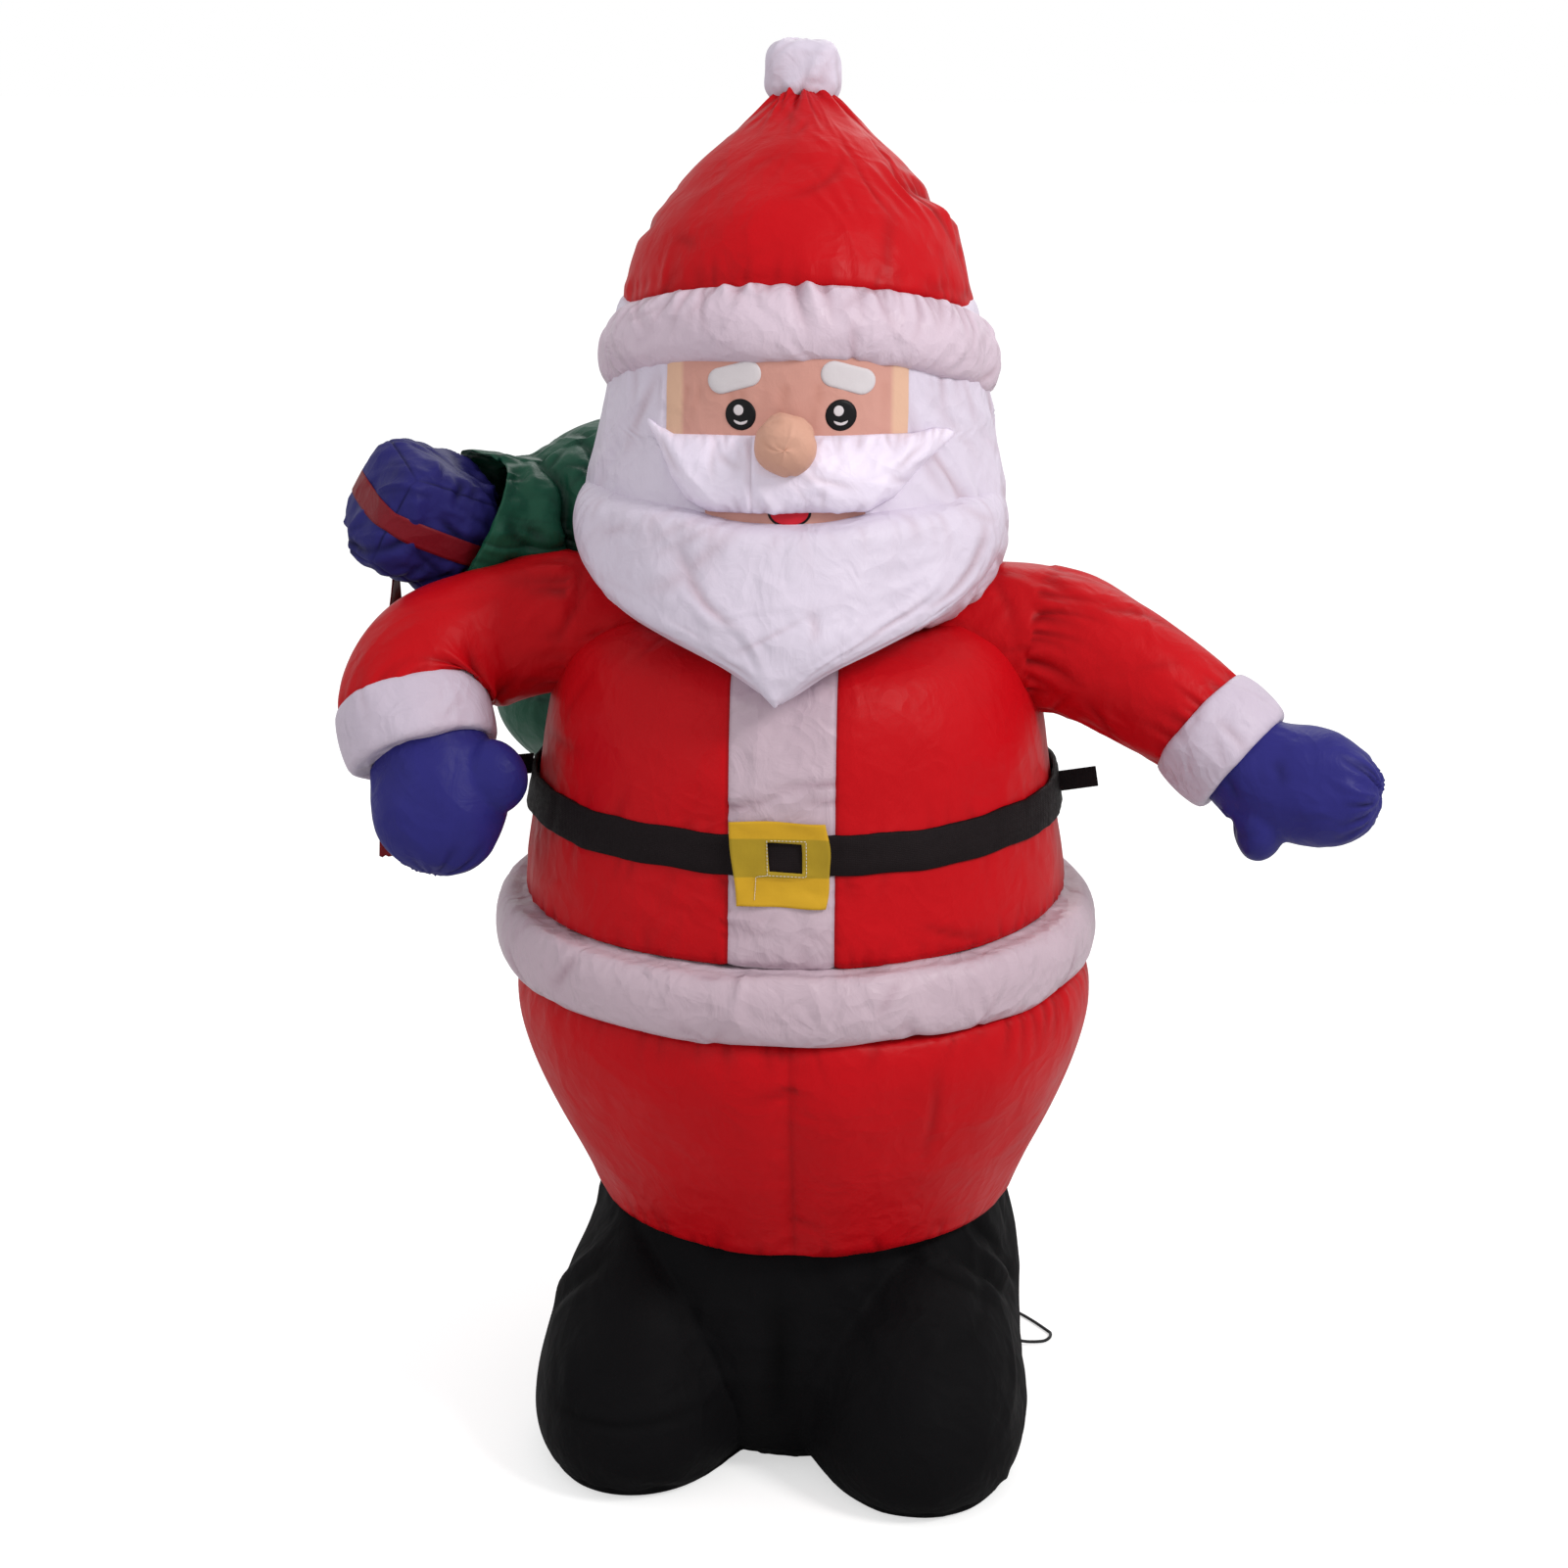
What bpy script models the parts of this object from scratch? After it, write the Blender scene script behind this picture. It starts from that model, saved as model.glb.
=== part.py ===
"""Inflated lawn figure in sewn polyester: a round santa with a sack, standing on its boots.

Metres, +Z up. The origin is on the ground under the body's axis and the figure faces -Y, so its
own left side is at +X. Every piece is a plain solid of its inflated shape.
"""

import math

import bmesh
import bpy
from mathutils import Matrix, Vector

# Clearances and fabric
GAP = 0.0004  # between neighbouring pieces
PANEL_DEPTH = 0.003  # how deep a let-in panel sits in its body
PANEL_PROUD = 0.0008  # how far a let-in panel stands out
PATCH = 0.0018  # thickness of a sewn-on patch
WEBBING = 0.0016  # thickness of tether webbing

# Sewn sections from the ground up
BOOTS_HEIGHT = 0.220
TROUSERS_HEIGHT = 0.217
TRIM_HEIGHT = 0.060
JACKET_HEIGHT = 0.245
HEAD_HEIGHT = 0.268
BELT_WIDTH = 0.033

# Heights of the seams round the body
ANKLE_Z = BOOTS_HEIGHT
TRIM_LOW_Z = ANKLE_Z + TROUSERS_HEIGHT
TRIM_HIGH_Z = TRIM_LOW_Z + TRIM_HEIGHT
SHOULDER_Z = TRIM_HIGH_Z + JACKET_HEIGHT
BELT_LOW_Z = TRIM_HIGH_Z + JACKET_HEIGHT * 0.30
BELT_HIGH_Z = BELT_LOW_Z + BELT_WIDTH

# Radii round the body
ANKLE_R = 0.180
TROUSERS_R = 0.250
TRIM_R = 0.260
SKIRT_R = 0.232
WAIST_R = 0.222
CHEST_R = 0.213
NECK_R = 0.155
HEAD_R = 0.179

# Boots
SOLE_R = 0.132
BOOTS_BACK = 0.020  # how far the ankle's axis sits behind the body's
BOOTS_X = 0.006  # and to its left
TROUSERS_X = 0.009
TOE_LENGTH = 0.160  # half the toe's length at its fullest height
TOE_WIDTH = 0.100  # and half its width
TOE_FULL_Z = 0.045
LEFT_TOE_AT = Vector((0.102, -0.106))  # from the ankle's axis
RIGHT_TOE_AT = Vector((-0.129, -0.082))
TOE_TURN = math.radians(7)
TOE_BLEND = 12  # the higher, the sharper the valley between toe and ankle
TOE_FADE = 0.05

# Hat, worn tilted back
HAT_SEAT = Vector((0.003, 0.0, SHOULDER_Z + 0.214))
HAT_TILT = math.radians(20)
HAT_R = 0.147
HAT_HEIGHT = 0.225
BRIM_R = 0.168
BRIM_HALF = 0.034
POMPOM_R = 0.033

# Arms
SLEEVE_R = 0.064
CUFF_HALF = 0.027
LEFT_CUFF_R = 0.055
RIGHT_CUFF_R = 0.066
LEFT_CUFF_AT = Vector((0.359, -0.070, SHOULDER_Z - 0.092))
RIGHT_CUFF_AT = Vector((-0.315, -0.087, SHOULDER_Z - 0.085))
LEFT_CUFF_AXIS = Vector((0.74, -0.30, -0.60))
RIGHT_CUFF_AXIS = Vector((0.30, -0.50, -0.81))

# Belt and buckle
BELT_THICK = 0.0022
BUCKLE_WIDTH = 0.080
BUCKLE_HEIGHT = 0.071
BUCKLE_WINDOW = 0.028
BUCKLE_Z = BELT_LOW_Z + BELT_WIDTH / 2
PLACKET_WIDTH = 0.087
WEBBING_WIDTH = 0.018
TETHER_Z = BELT_LOW_Z + 0.021
GROUND_TAB_Z = 0.0085
GROUND_TAB_OUT = 0.016
GROUND_TAB_IN = 0.008

# Mittens
LEFT_MITTEN_R = 0.050
RIGHT_MITTEN_R = 0.057

# Sack, with the gift in its mouth
SACK_R = 0.116
GIFT_AT = Vector((-0.3245, 0.030, SHOULDER_Z + 0.069))
GIFT_HALF = 0.053
GIFT_LEAN = math.radians(29)
GIFT_HEADING = math.radians(29)
RIBBON_WIDTH = 0.020
TAIL_TOP = GIFT_AT + Vector((-0.0275, 0.022, -0.057))
TAIL_LENGTH = 0.258
TAIL_WIDTH = 0.022
TAIL_TWIST = math.radians(75)

# Blower and its lead
BLOWER_AT = Vector((-0.020, 0.0, 0.095))
BLOWER_R = 0.056
LEAD = 0.003
GLAND_LENGTH = 0.022
GLAND_ANGLE = math.radians(26)
GLAND_Z = 0.021
COIL_AT = Vector((0.060, 0.262, 0.0))
COIL_R = 0.0175
COIL_HALF = 0.006
COIL_ENTRY = math.radians(60)
HOOK_OUT = 0.066  # how far the lead runs straight before it bends back
HOOK_R = 0.016
PLUG_AT = Vector((-0.020, 0.268, 0.0))
PLUG_SIZE = Vector((0.052, 0.034, 0.030))

# Mesh fineness
ROUND = 22
SMALL_ROUND = 16

RED = (0.55, 0.018, 0.026)
WHITE = (0.72, 0.66, 0.72)
BLACK = (0.012, 0.011, 0.013)
BLUE = (0.045, 0.042, 0.20)
GREEN = (0.022, 0.095, 0.060)
SKIN = (0.62, 0.34, 0.29)
YELLOW = (0.66, 0.40, 0.035)
DARK_RED = (0.16, 0.010, 0.018)


def clear_scene():
    for old in list(bpy.data.objects):
        bpy.data.objects.remove(old, do_unlink=True)


def new_collection(name, hidden=False):
    made = bpy.data.collections.new(name)
    bpy.context.scene.collection.children.link(made)
    made.hide_render = hidden
    return made


clear_scene()
PARTS = new_collection("inflatable_santa")
CUTTERS = new_collection("cutters", hidden=True)


def cloth_material(name, colour, roughness=0.5, metallic=0.0):
    made = bpy.data.materials.new(name)
    made.use_nodes = True
    shader = made.node_tree.nodes["Principled BSDF"]
    shader.inputs["Base Color"].default_value = (*colour, 1.0)
    shader.inputs["Roughness"].default_value = roughness
    shader.inputs["Metallic"].default_value = metallic
    made.diffuse_color = (*colour, 1.0)
    return made


def add_part(name, mesh, colour, roughness=0.5, metallic=0.0):
    """Links a mesh as a named piece with its own material."""
    mesh.name = name
    mesh.materials.clear()
    mesh.materials.append(cloth_material(name, colour, roughness, metallic))
    mesh.shade_smooth()
    made = bpy.data.objects.new(name, mesh)
    PARTS.objects.link(made)
    return made


def add_cutter(name, mesh):
    mesh.shade_smooth()
    made = bpy.data.objects.new(name, mesh)
    made.display_type = "WIRE"
    made.hide_render = True
    CUTTERS.objects.link(made)
    return made


def mesh_from(builder):
    """A mesh filled by a function that works on a bmesh."""
    work = bmesh.new()
    builder(work)
    bmesh.ops.recalc_face_normals(work, faces=work.faces)
    mesh = bpy.data.meshes.new("shape")
    work.to_mesh(mesh)
    work.free()
    return mesh


def turned(name, profile, colour, steps=ROUND, closed=False, roughness=0.5):
    """A Screw modifier round Z on a profile of (radius, height), listed from top to bottom."""
    work = bmesh.new()
    points = [work.verts.new((radius, 0.0, height)) for radius, height in profile]
    for first, second in zip(points, points[1:]):
        work.edges.new((first, second))
    if closed:
        work.edges.new((points[-1], points[0]))
    mesh = bpy.data.meshes.new(name)
    work.to_mesh(mesh)
    work.free()
    made = add_part(name, mesh, colour, roughness)
    screw = made.modifiers.new("Turn", "SCREW")
    screw.steps = steps
    screw.render_steps = steps
    screw.use_merge_vertices = True
    screw.merge_threshold = 0.00005
    screw.use_smooth_shade = True
    return made


def soft_mesh(stations, sides=8, up=Vector((0, 1, 0)), facing=None):
    """A cage of rings along a path. Each station is (centre, half across, half along up).

    A ring stands square to the path, or square to its own fourth value, or to facing, where given.
    """
    level_one = (3 + math.cos(2 * math.pi / sides)) / 4  # how far one subdivision pulls a ring in
    work = bmesh.new()
    rings = []
    for index, (centre, across, along, *own) in enumerate(stations):
        before = Vector(stations[max(index - 1, 0)][0])
        after = Vector(stations[min(index + 1, len(stations) - 1)][0])
        heading = Vector(own[0]).normalized() if own else facing or (after - before).normalized()
        side = heading.cross(up).normalized()
        lift = side.cross(heading).normalized()
        ring = []
        for step in range(sides):
            angle = 2 * math.pi * step / sides
            offset = side * (math.cos(angle) * across) + lift * (math.sin(angle) * along)
            ring.append(work.verts.new(Vector(centre) + offset / level_one))
        rings.append(ring)
    for ring, following in zip(rings, rings[1:]):
        for step in range(sides):
            other = (step + 1) % sides
            work.faces.new((ring[step], ring[other], following[other], following[step]))
    work.faces.new(rings[0])
    work.faces.new(rings[-1])
    bmesh.ops.recalc_face_normals(work, faces=work.faces)
    mesh = bpy.data.meshes.new("soft")
    work.to_mesh(mesh)
    work.free()
    return mesh


def subdivided(made, level=1):
    smooth = made.modifiers.new("Soft", "SUBSURF")
    smooth.levels = level
    smooth.render_levels = level
    return made


def soft(name, stations, colour, sides=8, up=Vector((0, 1, 0)), facing=None):
    return subdivided(add_part(name, soft_mesh(stations, sides, up, facing), colour))


def ball_mesh(radii, at, columns=16, rows=10, turn=0.0):
    placed = Matrix.Translation(at) @ Matrix.Rotation(turn, 4, "Z") @ Matrix.Diagonal((*radii, 1.0))
    return mesh_from(
        lambda work: bmesh.ops.create_uvsphere(
            work, u_segments=columns, v_segments=rows, radius=1.0, matrix=placed
        )
    )


def box_mesh(size, at, turn=None):
    placed = Matrix.Translation(at) @ (turn or Matrix()) @ Matrix.Diagonal((*size, 1.0))
    return mesh_from(lambda work: bmesh.ops.create_cube(work, size=1.0, matrix=placed))


def prism_mesh(outline, near, far):
    """An outline of (x, z) points run along Y from near to far."""

    def build(work):
        front = work.faces.new([work.verts.new((x, near, z)) for x, z in outline])
        moved = bmesh.ops.extrude_face_region(work, geom=[front])["geom"]
        for item in moved:
            if isinstance(item, bmesh.types.BMVert):
                item.co.y = far

    return mesh_from(build)


def boolean(target, tool, operation):
    cut = target.modifiers.new(f"{operation.lower()} {tool.name}", "BOOLEAN")
    cut.operation = operation
    cut.solver = "EXACT"
    cut.object = tool


def grown(source, by):
    """A hidden copy of a piece's plain shape, moved out along its normals, or in if by is negative."""
    name = f"{source.name}_{round(by * 1e5)}"
    if name in bpy.data.objects:
        return bpy.data.objects[name]
    made = source.copy()
    made.name = name
    made.display_type = "WIRE"
    made.hide_render = True
    for modifier in list(made.modifiers):
        if modifier.type == "BOOLEAN" and modifier.operation != "UNION":
            made.modifiers.remove(modifier)
    CUTTERS.objects.link(made)
    swell = made.modifiers.new("Swell", "DISPLACE")
    swell.strength = by
    swell.mid_level = 0.0
    return made


def carve(target, *others, by=GAP):
    """Cuts a neighbour's shape out of the target, with the clearance round it."""
    for other in others:
        boolean(target, grown(other, by), "DIFFERENCE")


def patch(name, base, outline, colour, low, high, near=-0.40, far=-0.02, roughness=0.5):
    """A skin over the base between two heights above it, inside an outline seen from the front."""
    made = add_part(name, prism_mesh(outline, near, far), colour, roughness)
    boolean(made, grown(base, high), "INTERSECT")
    boolean(made, grown(base, low), "DIFFERENCE")
    made.data.set_sharp_from_angle(angle=math.radians(40))
    return made


def recess(base, outline, near=-0.40, far=-0.02):
    """The pocket that a let-in panel sits in."""
    pocket = add_cutter(f"{base.name}_pocket", prism_mesh(outline, near, far))
    boolean(pocket, grown(base, -PANEL_DEPTH - GAP), "DIFFERENCE")
    boolean(base, pocket, "DIFFERENCE")


def arc(centre, radius_x, radius_z, start, stop, count):
    """Points (x, z) along part of an ellipse, with angles in degrees."""
    found = []
    for step in range(count):
        angle = math.radians(start + (stop - start) * step / (count - 1))
        found.append((centre[0] + radius_x * math.cos(angle), centre[1] + radius_z * math.sin(angle)))
    return found


def offset_rectangle(left, right, low, high, more=0.0):
    return [
        (left - more, low - more),
        (right + more, low - more),
        (right + more, high + more),
        (left - more, high + more),
    ]


def between(values, height):
    """Straight-line reading of a list of (radius, height) that runs downwards."""
    for (upper_r, upper_z), (lower_r, lower_z) in zip(values, values[1:]):
        if lower_z <= height <= upper_z:
            share = (height - lower_z) / (upper_z - lower_z)
            return lower_r + share * (upper_r - lower_r)
    return values[-1][0]


# Lower body

trousers = turned(
    "trousers",
    [
        (0, TRIM_LOW_Z - GAP),
        (TROUSERS_R - 0.006, TRIM_LOW_Z - GAP),
        (TROUSERS_R, TRIM_LOW_Z - TROUSERS_HEIGHT * 0.10),
        (TROUSERS_R * 0.996, TRIM_LOW_Z - TROUSERS_HEIGHT * 0.22),
        (TROUSERS_R * 0.956, TRIM_LOW_Z - TROUSERS_HEIGHT * 0.39),
        (TROUSERS_R * 0.886, TRIM_LOW_Z - TROUSERS_HEIGHT * 0.59),
        (TROUSERS_R * 0.797, TRIM_LOW_Z - TROUSERS_HEIGHT * 0.80),
        (ANKLE_R + 0.006, ANKLE_Z + TROUSERS_HEIGHT * 0.07),
        (ANKLE_R, ANKLE_Z + GAP),
        (0, ANKLE_Z + GAP),
    ],
    RED,
)

trousers.location.x = TROUSERS_X

jacket_trim = turned(
    "jacket_trim",
    [
        (0, TRIM_HIGH_Z),
        (SKIRT_R + 0.002, TRIM_HIGH_Z),
        (TRIM_R - 0.009, TRIM_HIGH_Z - 0.002),
        (TRIM_R - 0.001, TRIM_HIGH_Z - TRIM_HEIGHT * 0.25),
        (TRIM_R, (TRIM_LOW_Z + TRIM_HIGH_Z) / 2),
        (TRIM_R - 0.002, TRIM_LOW_Z + TRIM_HEIGHT * 0.23),
        (TRIM_R - 0.008, TRIM_LOW_Z + 0.002),
        (TROUSERS_R - 0.004, TRIM_LOW_Z),
        (0, TRIM_LOW_Z),
    ],
    WHITE,
)

JACKET_SIDE = [
    (NECK_R, SHOULDER_Z),
    (CHEST_R * 0.873, TRIM_HIGH_Z + JACKET_HEIGHT * 0.92),
    (CHEST_R * 0.953, TRIM_HIGH_Z + JACKET_HEIGHT * 0.80),
    (CHEST_R, TRIM_HIGH_Z + JACKET_HEIGHT * 0.645),
    (WAIST_R * 0.986, TRIM_HIGH_Z + JACKET_HEIGHT * 0.46),
    (WAIST_R * 1.004, TRIM_HIGH_Z + JACKET_HEIGHT * 0.37),
    (WAIST_R * 1.020, TRIM_HIGH_Z + JACKET_HEIGHT * 0.26),
    (SKIRT_R * 0.996, TRIM_HIGH_Z + JACKET_HEIGHT * 0.13),
    (SKIRT_R, TRIM_HIGH_Z + GAP),
]
jacket = turned("jacket", [(0, SHOULDER_Z), *JACKET_SIDE, (0, TRIM_HIGH_Z + GAP)], RED)

PLACKET_OUTLINE = offset_rectangle(
    -PLACKET_WIDTH / 2, PLACKET_WIDTH / 2, TRIM_HIGH_Z + GAP, SHOULDER_Z - 0.016
)
PLACKET_POCKET = offset_rectangle(
    -PLACKET_WIDTH / 2 - GAP,
    PLACKET_WIDTH / 2 + GAP,
    TRIM_HIGH_Z - 0.01,
    SHOULDER_Z - 0.016 + GAP,
)
placket = patch("placket", jacket, PLACKET_OUTLINE, WHITE, -PANEL_DEPTH, PANEL_PROUD)
recess(jacket, PLACKET_POCKET)


def belt_profile(inner, outer):
    heights = [BELT_HIGH_Z, (BELT_HIGH_Z + BELT_LOW_Z) / 2, BELT_LOW_Z]
    outside = [(between(JACKET_SIDE, z) + outer, z) for z in heights]
    inside = [(between(JACKET_SIDE, z) + inner, z) for z in reversed(heights)]
    return outside + inside


BELT_OUT = PANEL_PROUD + 2 * GAP + BELT_THICK
belt = turned("belt", belt_profile(PANEL_PROUD + 2 * GAP, BELT_OUT), BLACK, closed=True, roughness=0.6)

buckle = patch(
    "buckle",
    jacket,
    offset_rectangle(
        -BUCKLE_WIDTH / 2, BUCKLE_WIDTH / 2, BUCKLE_Z - BUCKLE_HEIGHT / 2, BUCKLE_Z + BUCKLE_HEIGHT / 2
    ),
    YELLOW,
    BELT_OUT + 2 * GAP,
    BELT_OUT + 2 * GAP + PATCH,
)
window = add_cutter(
    "buckle_window",
    prism_mesh(
        offset_rectangle(
            -BUCKLE_WINDOW / 2,
            BUCKLE_WINDOW / 2,
            BUCKLE_Z - BUCKLE_WINDOW / 2,
            BUCKLE_Z + BUCKLE_WINDOW / 2,
        ),
        -0.40,
        -0.02,
    ),
)
boolean(buckle, window, "DIFFERENCE")

# Boots: two toes that swell out of one ankle, in one piece, flat underneath

BOOTS_SIDE = [
    (ANKLE_R, ANKLE_Z),
    (ANKLE_R + 0.004, ANKLE_Z * 0.89),
    (ANKLE_R + 0.010, ANKLE_Z * 0.75),
    (ANKLE_R + 0.014, ANKLE_Z * 0.60),
    (ANKLE_R + 0.013, ANKLE_Z * 0.45),
    (ANKLE_R + 0.004, ANKLE_Z * 0.32),
    (ANKLE_R - 0.006, ANKLE_Z * 0.20),
    (ANKLE_R - 0.020, ANKLE_Z * 0.09),
    (ANKLE_R - 0.036, ANKLE_Z * 0.03),
    (SOLE_R, 0.0),
]
TOES = ((LEFT_TOE_AT, TOE_TURN), (RIGHT_TOE_AT, -TOE_TURN))
BOOTS_ROUND = 36


def toe_fullness(height):
    """How much of its greatest length and width a toe has at a height."""
    reach = ANKLE_Z - TOE_FULL_Z if height > TOE_FULL_Z else TOE_FULL_Z * 1.9
    return max(0.0, 1 - ((height - TOE_FULL_Z) / reach) ** 2) ** (0.8 if height > TOE_FULL_Z else 0.5)


def toe_reach(heading, at, turn, fullness):
    """The distance from the ankle's axis to the far side of a toe, fading where it misses."""
    if fullness <= 0:
        return 0.0
    spin = Matrix.Rotation(-turn, 2)
    squash = Vector((TOE_WIDTH * fullness, TOE_LENGTH * fullness))
    along, off = spin @ heading, spin @ at
    along = Vector((along.x / squash.x, along.y / squash.y))
    off = Vector((off.x / squash.x, off.y / squash.y))
    middle = along.dot(off) / along.length_squared
    under = middle**2 - (off.length_squared - 1) / along.length_squared
    if middle <= 0:
        return 0.0
    return middle + math.sqrt(under) if under > 0 else middle * math.exp(under / TOE_FADE**2)


def boots_at(heading, height):
    """The point of the boots' skin at a height, on a heading (x, y) from the ankle's axis."""
    heading = Vector(heading).normalized()
    reaches = [between(BOOTS_SIDE, height)]
    for at, turn in TOES:
        reaches.append(toe_reach(heading, at, turn, toe_fullness(height)))
    joined = sum(reach**TOE_BLEND for reach in reaches) ** (1 / TOE_BLEND)
    return Vector((heading.x * joined + BOOTS_X, heading.y * joined + BOOTS_BACK, height))


def boots_build(work):
    rings = []
    for _, height in BOOTS_SIDE:
        ring = []
        for step in range(BOOTS_ROUND):
            angle = 2 * math.pi * step / BOOTS_ROUND
            ring.append(work.verts.new(boots_at((math.sin(angle), -math.cos(angle)), height)))
        rings.append(ring)
    for ring, following in zip(rings, rings[1:]):
        for step in range(BOOTS_ROUND):
            other = (step + 1) % BOOTS_ROUND
            work.faces.new((ring[step], ring[other], following[other], following[step]))
    work.faces.new(rings[0])
    work.faces.new(rings[-1])


boots = add_part("boots", mesh_from(boots_build), BLACK, roughness=0.45)
boots.data.set_sharp_from_angle(angle=math.radians(60))

# Head, hat and face

HEAD_TOP_Z = SHOULDER_Z + HEAD_HEIGHT
HEAD_SIDE = [(HEAD_R * 0.715, SHOULDER_Z + GAP)]
for wide, high in (
    (0.855, 0.056),
    (0.944, 0.123),
    (0.994, 0.216),
    (1.000, 0.328),
    (0.978, 0.440),
    (0.933, 0.563),
    (0.894, 0.701),
    (0.866, 0.832),
    (0.832, 1.000),
):
    HEAD_SIDE.append((HEAD_R * wide, SHOULDER_Z + HEAD_HEIGHT * high))
head = turned(
    "head",
    [(0, HEAD_TOP_Z), *reversed(HEAD_SIDE), (0, SHOULDER_Z + GAP)],
    WHITE,
)


def seat_on_head(made):
    made.location = HAT_SEAT
    made.rotation_euler = (-HAT_TILT, 0, 0)


brim = turned(
    "hat_brim",
    [
        (0, 0.018),
        (0.118, 0.018),
        (HAT_R - 0.004, 0.028),
        (HAT_R + 0.005, BRIM_HALF),
        (BRIM_R - 0.008, 0.026),
        (BRIM_R - 0.001, 0.012),
        (BRIM_R, -0.002),
        (BRIM_R - 0.003, -0.017),
        (BRIM_R - 0.010, -0.028),
        (BRIM_R - 0.020, -BRIM_HALF),
        (0.134, -0.028),
        (0.118, -0.014),
        (0, -0.014),
    ],
    WHITE,
)
seat_on_head(brim)

hat = turned(
    "hat",
    [
        (0, HAT_HEIGHT),
        (HAT_R * 0.09, HAT_HEIGHT * 0.995),
        (HAT_R * 0.18, HAT_HEIGHT * 0.962),
        (HAT_R * 0.39, HAT_HEIGHT * 0.837),
        (HAT_R * 0.605, HAT_HEIGHT * 0.706),
        (HAT_R * 0.755, HAT_HEIGHT * 0.578),
        (HAT_R * 0.925, HAT_HEIGHT * 0.405),
        (HAT_R * 0.990, HAT_HEIGHT * 0.260),
        (HAT_R, HAT_HEIGHT * 0.175),
        (HAT_R - 0.003, 0.020),
        (0.110, 0.008),
        (0, 0.008),
    ],
    RED,
)
seat_on_head(hat)
carve(hat, brim)

hat_axis = Vector((0, math.sin(HAT_TILT), math.cos(HAT_TILT)))
pompom_at = HAT_SEAT + hat_axis * (HAT_HEIGHT + 0.016) + Vector((-0.002, 0.010, 0))
pompom = add_part(
    "pompom", ball_mesh((POMPOM_R, POMPOM_R, POMPOM_R * 0.86), pompom_at, 12, 8), WHITE
)
carve(pompom, hat)

above_brim = add_cutter("above_brim", box_mesh((0.6, 0.6, 0.3), (0, 0, 0.15)))
seat_on_head(above_brim)
boolean(head, above_brim, "DIFFERENCE")
carve(head, brim)

FACE_HALF = 0.0975
LIP_Z = SHOULDER_Z + 0.109


def face_outline(more):
    """Square at the temples, narrowing under the moustache to a shallow curve at the lip."""
    low_side = LIP_Z + 0.062 - more
    top = HEAD_TOP_Z + 0.02
    left, right = -FACE_HALF - more, FACE_HALF + more
    lip = arc((0.002, LIP_Z + 0.012), 0.064 + more, 0.012 + more, 180, 360, 9)
    narrow = [(lip[0][0], low_side), *lip, (lip[-1][0], low_side)]
    return [(left, top), (left, low_side), *narrow, (right, low_side), (right, top)]


face_panel = patch("face_panel", head, face_outline(0.0), SKIN, -PANEL_DEPTH, PANEL_PROUD)
recess(head, face_outline(GAP))
boolean(face_panel, above_brim, "DIFFERENCE")
carve(face_panel, brim)

FACE_LOW = PANEL_PROUD + 2 * GAP
FACE_HIGH = FACE_LOW + PATCH
EYE_Z = SHOULDER_Z + 0.195
EYE_APART = 0.080
EYE_R = 0.0121
FACE_X = 0.003
for side, sign in (("left", 1), ("right", -1)):
    eye_x = FACE_X + sign * EYE_APART / 2
    patch(
        f"{side}_eye",
        head,
        arc((eye_x, EYE_Z), EYE_R, EYE_R, 0, 340, 18),
        BLACK,
        FACE_LOW,
        FACE_HIGH,
        roughness=0.3,
    )
    brow_x = eye_x + sign * 0.005
    slope = -sign * math.tan(math.radians(13))
    ends = []
    for end_x, start in ((brow_x + 0.0125, -90), (brow_x - 0.0125, 90)):
        ends += arc((end_x, EYE_Z + 0.027 + slope * (end_x - brow_x)), 0.0088, 0.0100, start, start + 180, 7)
    patch(f"{side}_eyebrow", head, ends, WHITE, FACE_LOW, FACE_HIGH)

patch(
    "mouth",
    head,
    arc((FACE_X, LIP_Z + 0.0135), 0.0165, 0.0105, 180, 360, 11),
    RED,
    FACE_LOW,
    FACE_HIGH,
)

NOSE_R = 0.0245
NOSE_AT = Vector((0.002, -HEAD_R * 1.045, EYE_Z - 0.0175))
nose = add_part(
    "nose", ball_mesh((NOSE_R, NOSE_R, NOSE_R), NOSE_AT, 12, 8), SKIN
)
carve(nose, head, by=FACE_LOW)

MOUSTACHE = (
    (-0.642, 1.011, 0.028, 0.022),
    (-0.575, 0.944, 0.067, 0.045),
    (-0.492, 0.866, 0.145, 0.084),
    (-0.251, 0.838, 0.168, 0.117),
    (0.011, 0.846, 0.151, 0.123),
    (0.274, 0.838, 0.168, 0.117),
    (0.525, 0.866, 0.140, 0.078),
    (0.626, 0.916, 0.084, 0.045),
    (0.726, 0.972, 0.034, 0.022),
)
lip_r = HEAD_R * 0.966
moustache = soft(
    "moustache",
    [
        (
            Vector((HEAD_R * x, -math.sqrt(lip_r**2 - (HEAD_R * x) ** 2), SHOULDER_Z + HEAD_R * z)),
            HEAD_R * thick,
            HEAD_R * tall,
        )
        for x, z, tall, thick in MOUSTACHE
    ],
    WHITE,
    sides=6,
    up=Vector((0, 0, 1)),
    facing=Vector((1, 0, 0)),
)
carve(moustache, nose)
carve(moustache, head, by=FACE_HIGH + GAP)

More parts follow.
